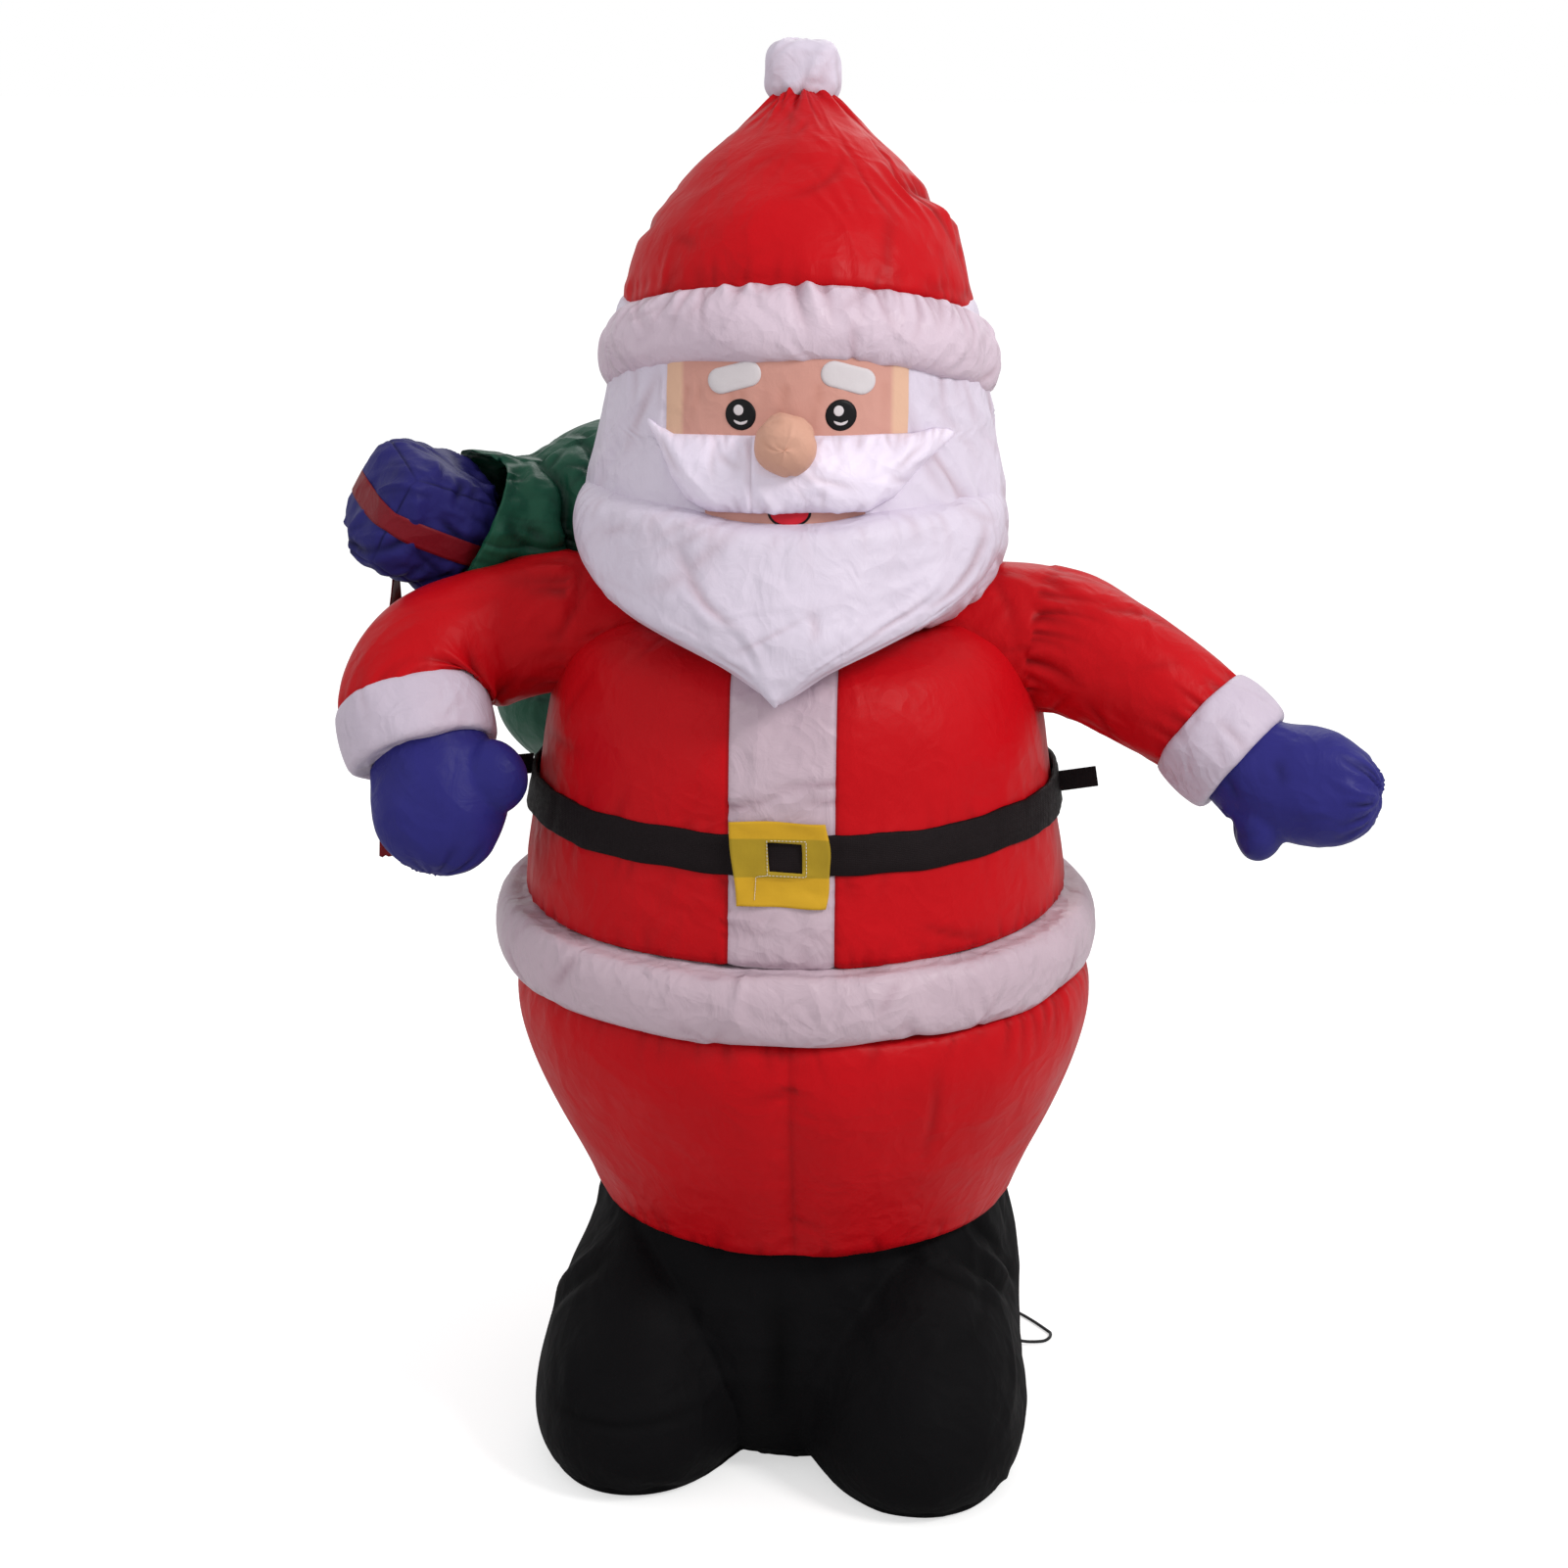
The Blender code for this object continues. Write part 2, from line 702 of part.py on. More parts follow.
BEARD = (
    (0.648, -0.168, 0.838, 0.838),
    (0.581, -0.168, 0.983, 0.927),
    (0.447, -0.179, 1.017, 1.006),
    (0.302, -0.268, 0.961, 1.017),
    (0.184, -0.559, 0.782, 0.771),
    (0.084, -0.754, 0.536, 0.592),
    (-0.011, -0.838, 0.291, 0.503),
    (-0.112, -0.894, 0.112, 0.413),
    (-0.145, -0.922, 0.045, 0.335),
)
beard = soft(
    "beard",
    [
        (Vector((-0.003, HEAD_R * y, SHOULDER_Z + HEAD_R * z)), HEAD_R * wide, HEAD_R * deep)
        for z, y, wide, deep in BEARD
    ],
    WHITE,
    sides=12,
    facing=Vector((0, 0, -1)),
)
carve(beard, head, by=FACE_HIGH + GAP)
carve(beard, jacket, by=FACE_LOW)
carve(beard, moustache)

# Arms


def cuff(name, radius, at, axis):
    made = turned(
        name,
        [
            (0, CUFF_HALF - 0.002),
            (radius - 0.009, CUFF_HALF),
            (radius - 0.002, CUFF_HALF - 0.006),
            (radius, 0.0),
            (radius - 0.002, -CUFF_HALF + 0.006),
            (radius - 0.009, -CUFF_HALF),
            (0, -CUFF_HALF + 0.002),
        ],
        WHITE,
        steps=SMALL_ROUND,
    )
    made.location = at
    made.rotation_mode = "QUATERNION"
    made.rotation_quaternion = axis.to_track_quat("Z", "Y")
    return made


left_cuff = cuff("left_cuff", LEFT_CUFF_R, LEFT_CUFF_AT, LEFT_CUFF_AXIS.normalized())
right_cuff = cuff("right_cuff", RIGHT_CUFF_R, RIGHT_CUFF_AT, RIGHT_CUFF_AXIS.normalized())



def along_path(origin, unit, rows):
    """Stations of a soft form from rows (x, y, z, across, along, heading), in units of one length."""
    found = []
    for x, y, z, across, along, *own in rows:
        found.append((Vector(origin) + Vector((x, y, z)) * unit, across * unit, along * unit, *own))
    return found


left_sleeve = soft(
    "left_sleeve",
    along_path(
        (0, 0, SHOULDER_Z),
        SLEEVE_R,
        (
            (1.719, 0.0, -0.470, 1.05, 1.05),
            (2.781, -0.047, -0.310, 1.06, 1.07),
            (3.531, -0.188, -0.340, 1.01, 1.00),
            (4.25, -0.438, -0.610, 0.95, 0.94),
            (4.969, -0.75, -1.000, 0.87, 0.87),
            (5.453, -1.0, -1.344, 0.766, 0.766, LEFT_CUFF_AXIS),
        ),
    ),
    RED,
)
right_sleeve = soft(
    "right_sleeve",
    along_path(
        (0, 0, SHOULDER_Z),
        SLEEVE_R,
        (
            (-1.719, 0.0, -0.469, 1.016, 1.047, (-1, 0, 0.1)),
            (-2.969, -0.062, -0.172, 1.016, 1.047, (-1, -0.04, 0)),
            (-3.906, -0.25, -0.320, 0.99, 0.99, (-1, -0.15, -0.12)),
            (-4.700, -0.688, -0.440, 1.03, 1.04, (-0.70, -0.42, -0.58)),
            (-5.100, -1.156, -0.920, 1.03, 1.03, (0.15, -0.52, -0.82)),
            (-4.935, -1.312, -1.219, 0.94, 0.94, RIGHT_CUFF_AXIS),
        ),
    ),
    RED,
)

for sleeve, own_cuff in ((left_sleeve, left_cuff), (right_sleeve, right_cuff)):
    carve(sleeve, jacket, head, beard, own_cuff)


def mitten(name, own_cuff, at, unit, rows, thumb_radii, thumb_at):
    made = soft(name, along_path(at, unit, rows), BLUE, sides=6)
    thumb = ball_mesh(Vector(thumb_radii) * unit, at + Vector(thumb_at) * unit, 10, 7)
    boolean(made, add_cutter(f"{name}_thumb", thumb), "UNION")
    carve(made, own_cuff)
    return made


left_mitten = mitten(
    "left_mitten",
    left_cuff,
    LEFT_CUFF_AT,
    LEFT_MITTEN_R,
    (
        (0.22, -0.10, -0.18, 0.80, 0.80, LEFT_CUFF_AXIS),
        (0.74, -0.34, -0.46, 0.94, 0.86),
        (1.36, -0.56, -0.60, 1.00, 0.84),
        (1.96, -0.76, -0.64, 0.92, 0.74),
        (2.40, -0.90, -0.62, 0.62, 0.52),
        (2.60, -0.96, -0.62, 0.26, 0.22),
    ),
    (0.46, 0.46, 0.68),
    (0.66, -0.68, -1.20),
)
right_mitten = mitten(
    "right_mitten",
    right_cuff,
    RIGHT_CUFF_AT,
    RIGHT_MITTEN_R,
    (
        (0.211, -0.193, -0.281, 0.860, 0.772, RIGHT_CUFF_AXIS),
        (0.333, -0.351, -0.684, 0.982, 0.842),
        (0.386, -0.526, -1.175, 1.000, 0.807),
        (0.368, -0.649, -1.596, 0.860, 0.684),
        (0.333, -0.737, -1.895, 0.579, 0.456),
        (0.316, -0.789, -2.035, 0.246, 0.211),
    ),
    (0.526, 0.456, 0.596),
    (1.158, -0.579, -0.614),
)

# Gift, sack and ribbon

gift_turn = Matrix.Rotation(GIFT_LEAN, 4, "Y") @ Matrix.Rotation(GIFT_HEADING, 4, "Z")


def gift_build(work):
    placed = Matrix.Translation(GIFT_AT) @ gift_turn @ Matrix.Scale(2 * GIFT_HALF, 4)
    bmesh.ops.create_cube(work, size=1.0, matrix=placed)
    bmesh.ops.subdivide_edges(work, edges=work.edges, cuts=1, use_grid_fill=True)
    for corner in work.verts:
        reach = (corner.co - GIFT_AT).length / GIFT_HALF
        puff = 1.16 if reach < 1.1 else 1.05 if reach < 1.5 else 1.0
        corner.co = GIFT_AT + (corner.co - GIFT_AT) * puff


gift = subdivided(add_part("gift", mesh_from(gift_build), BLUE))
carve(gift, right_sleeve)

ribbon = add_part(
    "gift_ribbon",
    box_mesh((4 * GIFT_HALF, 4 * GIFT_HALF, RIBBON_WIDTH), GIFT_AT, gift_turn),
    DARK_RED,
)
boolean(ribbon, grown(gift, GAP + PATCH), "INTERSECT")
boolean(ribbon, grown(gift, GAP), "DIFFERENCE")
carve(ribbon, right_sleeve)

sack = soft(
    "sack",
    along_path(
        (0, 0, SHOULDER_Z),
        SACK_R,
        (
            (-1.483, 1.379, -1.638, 0.500, 0.466),
            (-1.500, 1.448, -1.267, 0.931, 0.845),
            (-1.448, 1.483, -0.534, 1.000, 0.897),
            (-1.422, 1.431, 0.130, 0.931, 0.845),
            (-1.520, 1.080, 0.640, 0.790, 0.760),
            (-1.948, 0.552, 0.552, 0.552, 0.569),
            (-2.328, 0.379, 0.552, 0.534, 0.534),
            (-2.586, 0.345, 0.569, 0.448, 0.431),
        ),
    ),
    GREEN,
    up=Vector((-0.3, 1, 0.2)),
)
carve(sack, jacket, head, beard, right_sleeve, belt)
carve(sack, gift, by=PATCH + 2 * GAP)

tail_rows = 14


def tail_build(work):
    rows = []
    for row in range(tail_rows + 1):
        share = row / tail_rows
        angle = TAIL_TWIST * (1 - share) ** 1.4
        across = Vector((math.cos(angle), math.sin(angle), 0)) * (TAIL_WIDTH / 2)
        centre = TAIL_TOP + Vector((-0.012 * share, 0.004 * math.sin(3 * share), -TAIL_LENGTH * share))
        rows.append([work.verts.new(centre - across), work.verts.new(centre + across)])
    for row, following in zip(rows, rows[1:]):
        work.faces.new((row[0], row[1], following[1], following[0]))


tail = add_part("ribbon_tail", mesh_from(tail_build), DARK_RED)
thick = tail.modifiers.new("Thick", "SOLIDIFY")
thick.thickness = PATCH
thick.offset = 0.0
carve(tail, gift, by=PATCH + 2 * GAP)
carve(tail, right_sleeve)

# Webbing tabs


def tab(name, root, heading, length, width, lean=0.0):
    """A flat strap end, standing out from its root along a heading in degrees from +X."""
    turn = Matrix.Rotation(math.radians(heading), 4, "Z") @ Matrix.Rotation(-lean, 4, "Y")
    centre = Vector(root) + turn @ Vector((length / 2, 0, 0))
    made = add_part(name, box_mesh((length, WEBBING, width), centre, turn), BLACK, 0.7)
    edge = made.modifiers.new("Edge", "BEVEL")
    edge.width = 0.0004
    edge.segments = 1
    return made


TETHER_LENGTH = 0.034
tab_r = between(JACKET_SIDE, TETHER_Z) + BELT_OUT + GAP
tab(
    "left_tether_tab", (tab_r, 0, TETHER_Z), 0, TETHER_LENGTH, WEBBING_WIDTH, math.radians(9)
)
right_tab = tab(
    "right_tether_tab",
    (-tab_r - WEBBING, 0, TETHER_Z + WEBBING_WIDTH / 2),
    215,
    TETHER_LENGTH,
    WEBBING_WIDTH,
    math.radians(4),
)
carve(sack, right_tab)


def ground_tab(name, way, heading):
    """A webbing end that leaves the boots near the ground on one way (x, y), turned to a heading."""
    turn = Matrix.Rotation(math.radians(heading), 4, "Z")
    length = GROUND_TAB_OUT + GROUND_TAB_IN
    at = boots_at(way, GROUND_TAB_Z) + turn @ Vector(((GROUND_TAB_OUT - GROUND_TAB_IN) / 2, 0, 0))
    made = add_part(name, box_mesh((length, WEBBING_WIDTH, WEBBING), at, turn), BLACK, 0.7)
    carve(made, boots)
    return made


# Blower at the back of the boots, and its lead

blower_y = BOOTS_BACK + max(radius for radius, _ in BOOTS_SIDE) - 0.001
blower = turned(
    "blower",
    [
        (0, 0.006),
        (0.014, 0.006),
        (0.018, 0.002),
        (0.038, 0.002),
        (0.042, 0.006),
        (BLOWER_R, 0.001),
        (0.046, -0.020),
        (0, -0.020),
    ],
    BLACK,
    steps=SMALL_ROUND,
    roughness=0.35,
)
blower.location = (BLOWER_AT.x, blower_y, BLOWER_AT.z)
blower.rotation_euler = (-math.pi / 2, 0, 0)
carve(boots, blower)

ground_tab("left_ground_tab", (1.0, -0.22), 12)
ground_tab("right_ground_tab", (-1.0, -0.10), 166)

gland_heading = Vector((math.cos(GLAND_ANGLE), math.sin(GLAND_ANGLE), 0))
gland_root = boots_at(gland_heading.xy, GLAND_Z) - gland_heading * 0.004
gland = turned(
    "cord_gland",
    [
        (0, GLAND_LENGTH),
        (LEAD / 2 + 0.0010, GLAND_LENGTH),
        (LEAD / 2 + 0.0022, GLAND_LENGTH * 0.35),
        (0.0065, GLAND_LENGTH * 0.28),
        (0.0065, 0),
        (0, 0),
    ],
    BLACK,
    steps=SMALL_ROUND,
)
gland.location = gland_root
gland.rotation_mode = "QUATERNION"
gland.rotation_quaternion = gland_heading.to_track_quat("Z", "Y")
carve(boots, gland)

coil = turned(
    "cord_coil",
    [
        (COIL_R + COIL_HALF * 0.6, 2 * COIL_HALF),
        (COIL_R + COIL_HALF, COIL_HALF),
        (COIL_R + COIL_HALF * 0.6, 0),
        (COIL_R - COIL_HALF * 0.6, 0),
        (COIL_R - COIL_HALF, COIL_HALF),
        (COIL_R - COIL_HALF * 0.6, 2 * COIL_HALF),
    ],
    BLACK,
    steps=SMALL_ROUND,
    closed=True,
)
coil.location = COIL_AT

LYING = LEAD / 2
gland_tip = gland_root + gland_heading * (GLAND_LENGTH + GAP)
hook_left = Vector((-gland_heading.y, gland_heading.x, 0))
hook_start = gland_tip + gland_heading * HOOK_OUT
hook_start.z = LYING


def hook_point(degrees):
    """A point of the bend that the lead makes on the ground beside the boots."""
    spoke = Matrix.Rotation(math.radians(degrees), 3, "Z") @ hook_left
    return hook_start + (hook_left - spoke) * HOOK_R


drop = GLAND_Z - LYING
coil_side = Vector((math.cos(COIL_ENTRY), math.sin(COIL_ENTRY), 0))
coil_edge = COIL_AT + coil_side * (COIL_R + COIL_HALF + LYING + 2 * GAP) + Vector((0, 0, LYING))
straight = coil_edge - hook_point(100)
bulge = Vector((straight.y, -straight.x, 0)) * 0.09
ROUTE = [
    gland_tip,
    gland_tip + gland_heading * (HOOK_OUT * 0.16) - Vector((0, 0, drop * 0.03)),
    gland_tip + gland_heading * (HOOK_OUT * 0.40) - Vector((0, 0, drop * 0.28)),
    gland_tip + gland_heading * (HOOK_OUT * 0.70) - Vector((0, 0, drop * 0.80)),
    hook_start,
    hook_point(33),
    hook_point(66),
    hook_point(100),
]
for share, swell in ((0.2, 0.6), (0.5, 1.0), (0.8, 0.5), (1.0, 0.0)):
    ROUTE.append(hook_point(100) + straight * share + bulge * swell)


def smooth_route(points, per_span):
    """Points of a Catmull-Rom curve through the route."""
    padded = [points[0] * 2 - points[1], *points, points[-1] * 2 - points[-2]]
    found = []
    for index in range(1, len(padded) - 2):
        before, start, stop, after = padded[index - 1 : index + 3]
        for step in range(per_span):
            t = step / per_span
            found.append(
                0.5
                * (
                    2 * start
                    + (stop - before) * t
                    + (2 * before - 5 * start + 4 * stop - after) * t * t
                    + (3 * start - before - 3 * stop + after) * t * t * t
                )
            )
    found.append(points[-1])
    return found


def cord_object(name, points, diameter, colour):
    curve = bpy.data.curves.new(name, "CURVE")
    curve.dimensions = "3D"
    curve.bevel_depth = diameter / 2
    curve.bevel_resolution = 1
    curve.use_fill_caps = True
    spline = curve.splines.new("POLY")
    spline.points.add(len(points) - 1)
    for point, place in zip(spline.points, points):
        point.co = (*place, 1.0)
    curve.materials.append(cloth_material(name, colour, 0.5))
    made = bpy.data.objects.new(name, curve)
    PARTS.objects.link(made)
    return made


cord_object("power_cord", smooth_route(ROUTE, 2), LEAD, BLACK)


def rounded(made, width, segments=2):
    edge = made.modifiers.new("Edge", "BEVEL")
    edge.width = width
    edge.segments = segments
    return made


rounded(
    add_part("power_plug", box_mesh(PLUG_SIZE, PLUG_AT + Vector((0, 0, PLUG_SIZE.z / 2))), BLACK, 0.4),
    0.004,
)
for number, pin_x in enumerate((-0.0064, 0.0064), start=1):
    pin_at = PLUG_AT + Vector((pin_x, PLUG_SIZE.y / 2 + 0.0085 + GAP, PLUG_SIZE.z / 2))
    add_part(f"plug_pin_{number}", box_mesh((0.0015, 0.017, 0.0063), pin_at), (0.6, 0.6, 0.58), 0.3, 1.0)
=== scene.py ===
import math

import bmesh
import bpy
import numpy as np
from mathutils import Matrix, Vector
from mathutils.bvhtree import BVHTree


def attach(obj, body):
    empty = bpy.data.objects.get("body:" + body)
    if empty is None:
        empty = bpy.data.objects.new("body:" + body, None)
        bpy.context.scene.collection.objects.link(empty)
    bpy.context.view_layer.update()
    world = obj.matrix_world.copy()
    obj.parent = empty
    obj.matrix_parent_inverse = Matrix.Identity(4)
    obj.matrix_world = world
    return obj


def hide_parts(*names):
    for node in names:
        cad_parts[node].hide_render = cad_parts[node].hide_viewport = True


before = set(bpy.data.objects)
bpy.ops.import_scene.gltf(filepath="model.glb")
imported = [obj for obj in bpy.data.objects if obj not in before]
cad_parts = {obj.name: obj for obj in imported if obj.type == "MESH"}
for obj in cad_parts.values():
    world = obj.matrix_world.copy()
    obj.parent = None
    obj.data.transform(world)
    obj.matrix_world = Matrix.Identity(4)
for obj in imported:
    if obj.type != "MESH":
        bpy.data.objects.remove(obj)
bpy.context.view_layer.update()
scene = bpy.context.scene
TAU = 2 * math.pi

# Camera, lights and world

camera_data = bpy.data.cameras.new("camera")
camera_data.lens = 80.23
camera_data.sensor_width = 36
camera = bpy.data.objects.new("camera", camera_data)
camera.location = (0.1518, -2.8960, 1.45)
camera.rotation_mode = "QUATERNION"
camera.rotation_quaternion = (Vector((-0.010, 0, 0.585)) - camera.location).to_track_quat("-Z", "Y")
scene.collection.objects.link(camera)
scene.camera = camera
scene.view_settings.view_transform = "Standard"


def area_light(name, at, aim, size, power, colour=(1, 1, 1)):
    data = bpy.data.lights.new(name, "AREA")
    data.shape = "DISK"
    data.size = size
    data.energy = power
    data.color = colour
    made = bpy.data.objects.new(name, data)
    made.location = at
    made.rotation_mode = "QUATERNION"
    made.rotation_quaternion = (Vector(aim) - Vector(at)).to_track_quat("-Z", "Y")
    scene.collection.objects.link(made)


area_light("key", (2.1, -1.5, 2.7), (0, 0, 0.75), 0.9, 54, (1.0, 0.985, 0.97))
area_light("fill", (-2.4, -2.2, 1.5), (0, 0, 0.6), 2.2, 8, (0.95, 0.97, 1.0))
area_light("rear", (0.4, 2.6, 2.2), (0, 0, 0.7), 2.0, 12)

world = bpy.data.worlds.new("studio")
world.use_nodes = True
background = world.node_tree.nodes["Background"]
background.inputs["Color"].default_value = (1, 1, 1, 1)
seen = world.node_tree.nodes.new("ShaderNodeLightPath")
strength = world.node_tree.nodes.new("ShaderNodeMapRange")
strength.inputs["To Min"].default_value = 0.80
strength.inputs["To Max"].default_value = 1.0
world.node_tree.links.new(seen.outputs["Is Camera Ray"], strength.inputs["Value"])
world.node_tree.links.new(strength.outputs["Result"], background.inputs["Strength"])
scene.world = world


# Materials


class Graph:
    """A material with a Principled shader and short calls for its nodes."""

    def __init__(self, name):
        self.material = bpy.data.materials.new(name)
        self.material.use_nodes = True
        self.tree = self.material.node_tree
        self.shader = self.tree.nodes["Principled BSDF"]

    def node(self, kind, **values):
        made = self.tree.nodes.new(kind)
        for key, value in values.items():
            socket = made.inputs.get(key.replace("_", " ").title())
            if socket is not None and not isinstance(value, str):
                socket.default_value = value
            else:
                setattr(made, key, value)
        return made

    def link(self, start, end):
        self.tree.links.new(start, end)

    def places(self, stretch=(1, 1, 1)):
        where = self.node("ShaderNodeTexCoord")
        mapped = self.node("ShaderNodeMapping")
        mapped.inputs["Scale"].default_value = stretch
        self.link(where.outputs["Object"], mapped.inputs["Vector"])
        return mapped.outputs["Vector"]

    def noise(self, scale, detail=3.0, stretch=(1, 1, 1), distortion=0.0):
        made = self.node("ShaderNodeTexNoise")
        made.inputs["Scale"].default_value = scale
        made.inputs["Detail"].default_value = detail
        made.inputs["Distortion"].default_value = distortion
        self.link(self.places(stretch), made.inputs["Vector"])
        return made.outputs["Fac"]

    def facets(self, scale):
        """Flat cells with sharp borders, like crumpled thin cloth, as a height."""
        soft = self.node("ShaderNodeTexNoise")
        soft.inputs["Scale"].default_value = scale * 0.4
        self.link(self.places(), soft.inputs["Vector"])
        shifted = self.node("ShaderNodeMix")
        shifted.data_type = "VECTOR"
        shifted.inputs["Factor"].default_value = 0.12
        self.link(self.places(), shifted.inputs[4])
        self.link(soft.outputs["Color"], shifted.inputs[5])
        cells = self.node("ShaderNodeTexVoronoi")
        cells.inputs["Scale"].default_value = scale
        self.link(shifted.outputs[1], cells.inputs["Vector"])
        return cells.outputs["Distance"]

    def spread(self, value, low, high, to_low=0.0, to_high=1.0):
        made = self.node("ShaderNodeMapRange")
        made.clamp = True
        made.inputs["From Min"].default_value = low
        made.inputs["From Max"].default_value = high
        made.inputs["To Min"].default_value = to_low
        made.inputs["To Max"].default_value = to_high
        self.link(value, made.inputs["Value"])
        return made.outputs["Result"]

    def blend(self, share, first, second):
        """Two colours, each a triple or a socket, mixed by a socket."""
        made = self.node("ShaderNodeMix")
        made.data_type = "RGBA"
        self.link(share, made.inputs["Factor"])
        for slot, value in ((6, first), (7, second)):
            if isinstance(value, tuple):
                made.inputs[slot].default_value = (*value, 1.0)
            else:
                self.link(value, made.inputs[slot])
        return made.outputs[2]

    def math(self, operation, first, second):
        made = self.node("ShaderNodeMath")
        made.operation = operation
        for slot, value in enumerate((first, second)):
            if isinstance(value, (int, float)):
                made.inputs[slot].default_value = value
            else:
                self.link(value, made.inputs[slot])
        return made.outputs["Value"]

    def attribute(self, name):
        made = self.node("ShaderNodeAttribute")
        made.attribute_name = name
        return made.outputs["Fac"]

    def bump(self, layers):
        """Bumps in a chain, each (height socket, strength, depth in metres)."""
        before = None
        for height, strength, depth in layers:
            made = self.node("ShaderNodeBump")
            made.inputs["Strength"].default_value = strength
            made.inputs["Distance"].default_value = depth
            self.link(height, made.inputs["Height"])
            if before is not None:
                self.link(before, made.inputs["Normal"])
            before = made.outputs["Normal"]
        self.link(before, self.shader.inputs["Normal"])

    def set(self, **values):
        for key, value in values.items():
            self.shader.inputs[key.replace("_", " ").title().replace("Ior", "IOR")].default_value = value


def weave(graph, size):
    """The crossing threads of plain-woven cloth, as a height."""
    found = []
    for direction in ("X", "Z"):
        wave = graph.node("ShaderNodeTexWave")
        wave.wave_type = "BANDS"
        wave.bands_direction = direction
        wave.inputs["Scale"].default_value = 0.31 / size
        wave.inputs["Distortion"].default_value = 0.4
        graph.link(graph.places(), wave.inputs["Vector"])
        found.append(wave.outputs["Fac"])
    return graph.math("MULTIPLY", *found)


def polyester(name, colour, shade, painted_shade, roughness=0.46, crinkle=0.35, gloss=0.1):
    """Thin satin cloth: shade is its darker tone, painted_shade the painted shade along seams and in folds."""
    graph = Graph(name)
    clouds = graph.spread(graph.noise(7, 3, distortion=0.3), 0.35, 0.68)
    streaks = graph.spread(graph.noise(26, 4, (1, 1, 0.35), 0.6), 0.42, 0.72)
    toned = graph.blend(graph.math("MULTIPLY", clouds, 0.45), colour, shade)
    toned = graph.blend(graph.math("MULTIPLY", streaks, 0.18), toned, shade)
    # Painted shade is mixed in here along seams, in fold valleys and in hollows, by a mesh attribute.
    toned = graph.blend(graph.attribute("painted_shade"), toned, painted_shade)
    graph.link(toned, graph.shader.inputs["Base Color"])
    graph.link(
        graph.spread(graph.noise(18, 2), 0.3, 0.7, roughness - 0.06, roughness + 0.08),
        graph.shader.inputs["Roughness"],
    )
    graph.bump(
        [
            (graph.facets(15), crinkle, 0.010),
            (graph.facets(41), crinkle * 0.8, 0.0035),
            (graph.noise(34, 5, (1, 1, 0.8), 1.1), crinkle * 0.8, 0.005),
            (weave(graph, 0.0011), 0.12, 0.0002),
        ]
    )
    graph.set(specular_ior_level=gloss)
    return graph.material


RED = polyester("red polyester", (0.48, 0.0030, 0.0070), (0.40, 0.0022, 0.005), (0.20, 0.001, 0.003), 0.42, 0.32, 0.09)
WHITE = polyester("white polyester", (0.64, 0.575, 0.68), (0.57, 0.50, 0.60), (0.45, 0.34, 0.40), 0.42, 0.55, 0.15)
# Painted light and shade: the moustache is the head's white made lighter, and the hem, placket and cuffs the same white
# made darker, as lit and shaded copies; the hem and placket are also pinker in tone.
LIT_MOUSTACHE_WHITE = polyester("lit moustache polyester", (0.78, 0.70, 0.83), (0.70, 0.62, 0.74), (0.50, 0.40, 0.46), 0.42, 0.55, 0.15)
BRIM_WHITE = polyester("brim polyester", (0.62, 0.50, 0.585), (0.52, 0.40, 0.48), (0.38, 0.25, 0.30), 0.38, 0.8, 0.2)
SHADED_PINK_WHITE = polyester("shaded hem polyester", (0.52, 0.40, 0.46), (0.44, 0.325, 0.385), (0.34, 0.22, 0.27), 0.38, 0.8, 0.2)
SHADED_CUFF_WHITE = polyester("shaded cuff polyester", (0.54, 0.465, 0.56), (0.47, 0.39, 0.47), (0.36, 0.26, 0.31), 0.40, 0.7, 0.15)
SKIN = polyester("skin polyester", (0.575, 0.295, 0.245), (0.52, 0.25, 0.205), (0.40, 0.16, 0.115), 0.5, 0.35)
NOSE = polyester("nose polyester", (0.60, 0.335, 0.25), (0.53, 0.27, 0.19), (0.42, 0.18, 0.11), 0.5, 0.5)
BLUE = polyester("blue polyester", (0.025, 0.023, 0.170), (0.018, 0.016, 0.120), (0.008, 0.007, 0.05), 0.42, 0.45, 0.10)
GIFT_BLUE = polyester("gift polyester", (0.022, 0.020, 0.135), (0.016, 0.014, 0.10), (0.006, 0.005, 0.035), 0.46, 0.45, 0.08)
GREEN = polyester("green polyester", (0.009, 0.080, 0.044), (0.006, 0.055, 0.031), (0.002, 0.012, 0.008), 0.38, 0.5, 0.18)
BLACK = polyester("black polyester", (0.0044, 0.0042, 0.0048), (0.0032, 0.003, 0.0035), (0.0014, 0.0014, 0.0016), 0.66, 0.4, 0.05)
RIBBON_RED = polyester("ribbon polyester", (0.17, 0.006, 0.012), (0.13, 0.004, 0.009), (0.07, 0.002, 0.005), 0.44, 0.5, 0.15)

# The skin cloth is lighter and yellower where it turns under at the sides of the face
skin_graph = SKIN.node_tree
skin_shader = skin_graph.nodes["Principled BSDF"]
skin_place = skin_graph.nodes.new("ShaderNodeTexCoord")
skin_axes = skin_graph.nodes.new("ShaderNodeSeparateXYZ")
skin_side = skin_graph.nodes.new("ShaderNodeMath")
skin_side.operation = "ABSOLUTE"
skin_edge = skin_graph.nodes.new("ShaderNodeMapRange")
skin_edge.inputs["From Min"].default_value = 0.082
skin_edge.inputs["From Max"].default_value = 0.086
skin_mix = skin_graph.nodes.new("ShaderNodeMix")
skin_mix.data_type = "RGBA"
skin_mix.inputs[7].default_value = (0.66, 0.41, 0.29, 1)
skin_graph.links.new(skin_place.outputs["Object"], skin_axes.inputs["Vector"])
skin_graph.links.new(skin_axes.outputs["X"], skin_side.inputs[0])
skin_graph.links.new(skin_side.outputs["Value"], skin_edge.inputs["Value"])
skin_graph.links.new(skin_edge.outputs["Result"], skin_mix.inputs["Factor"])
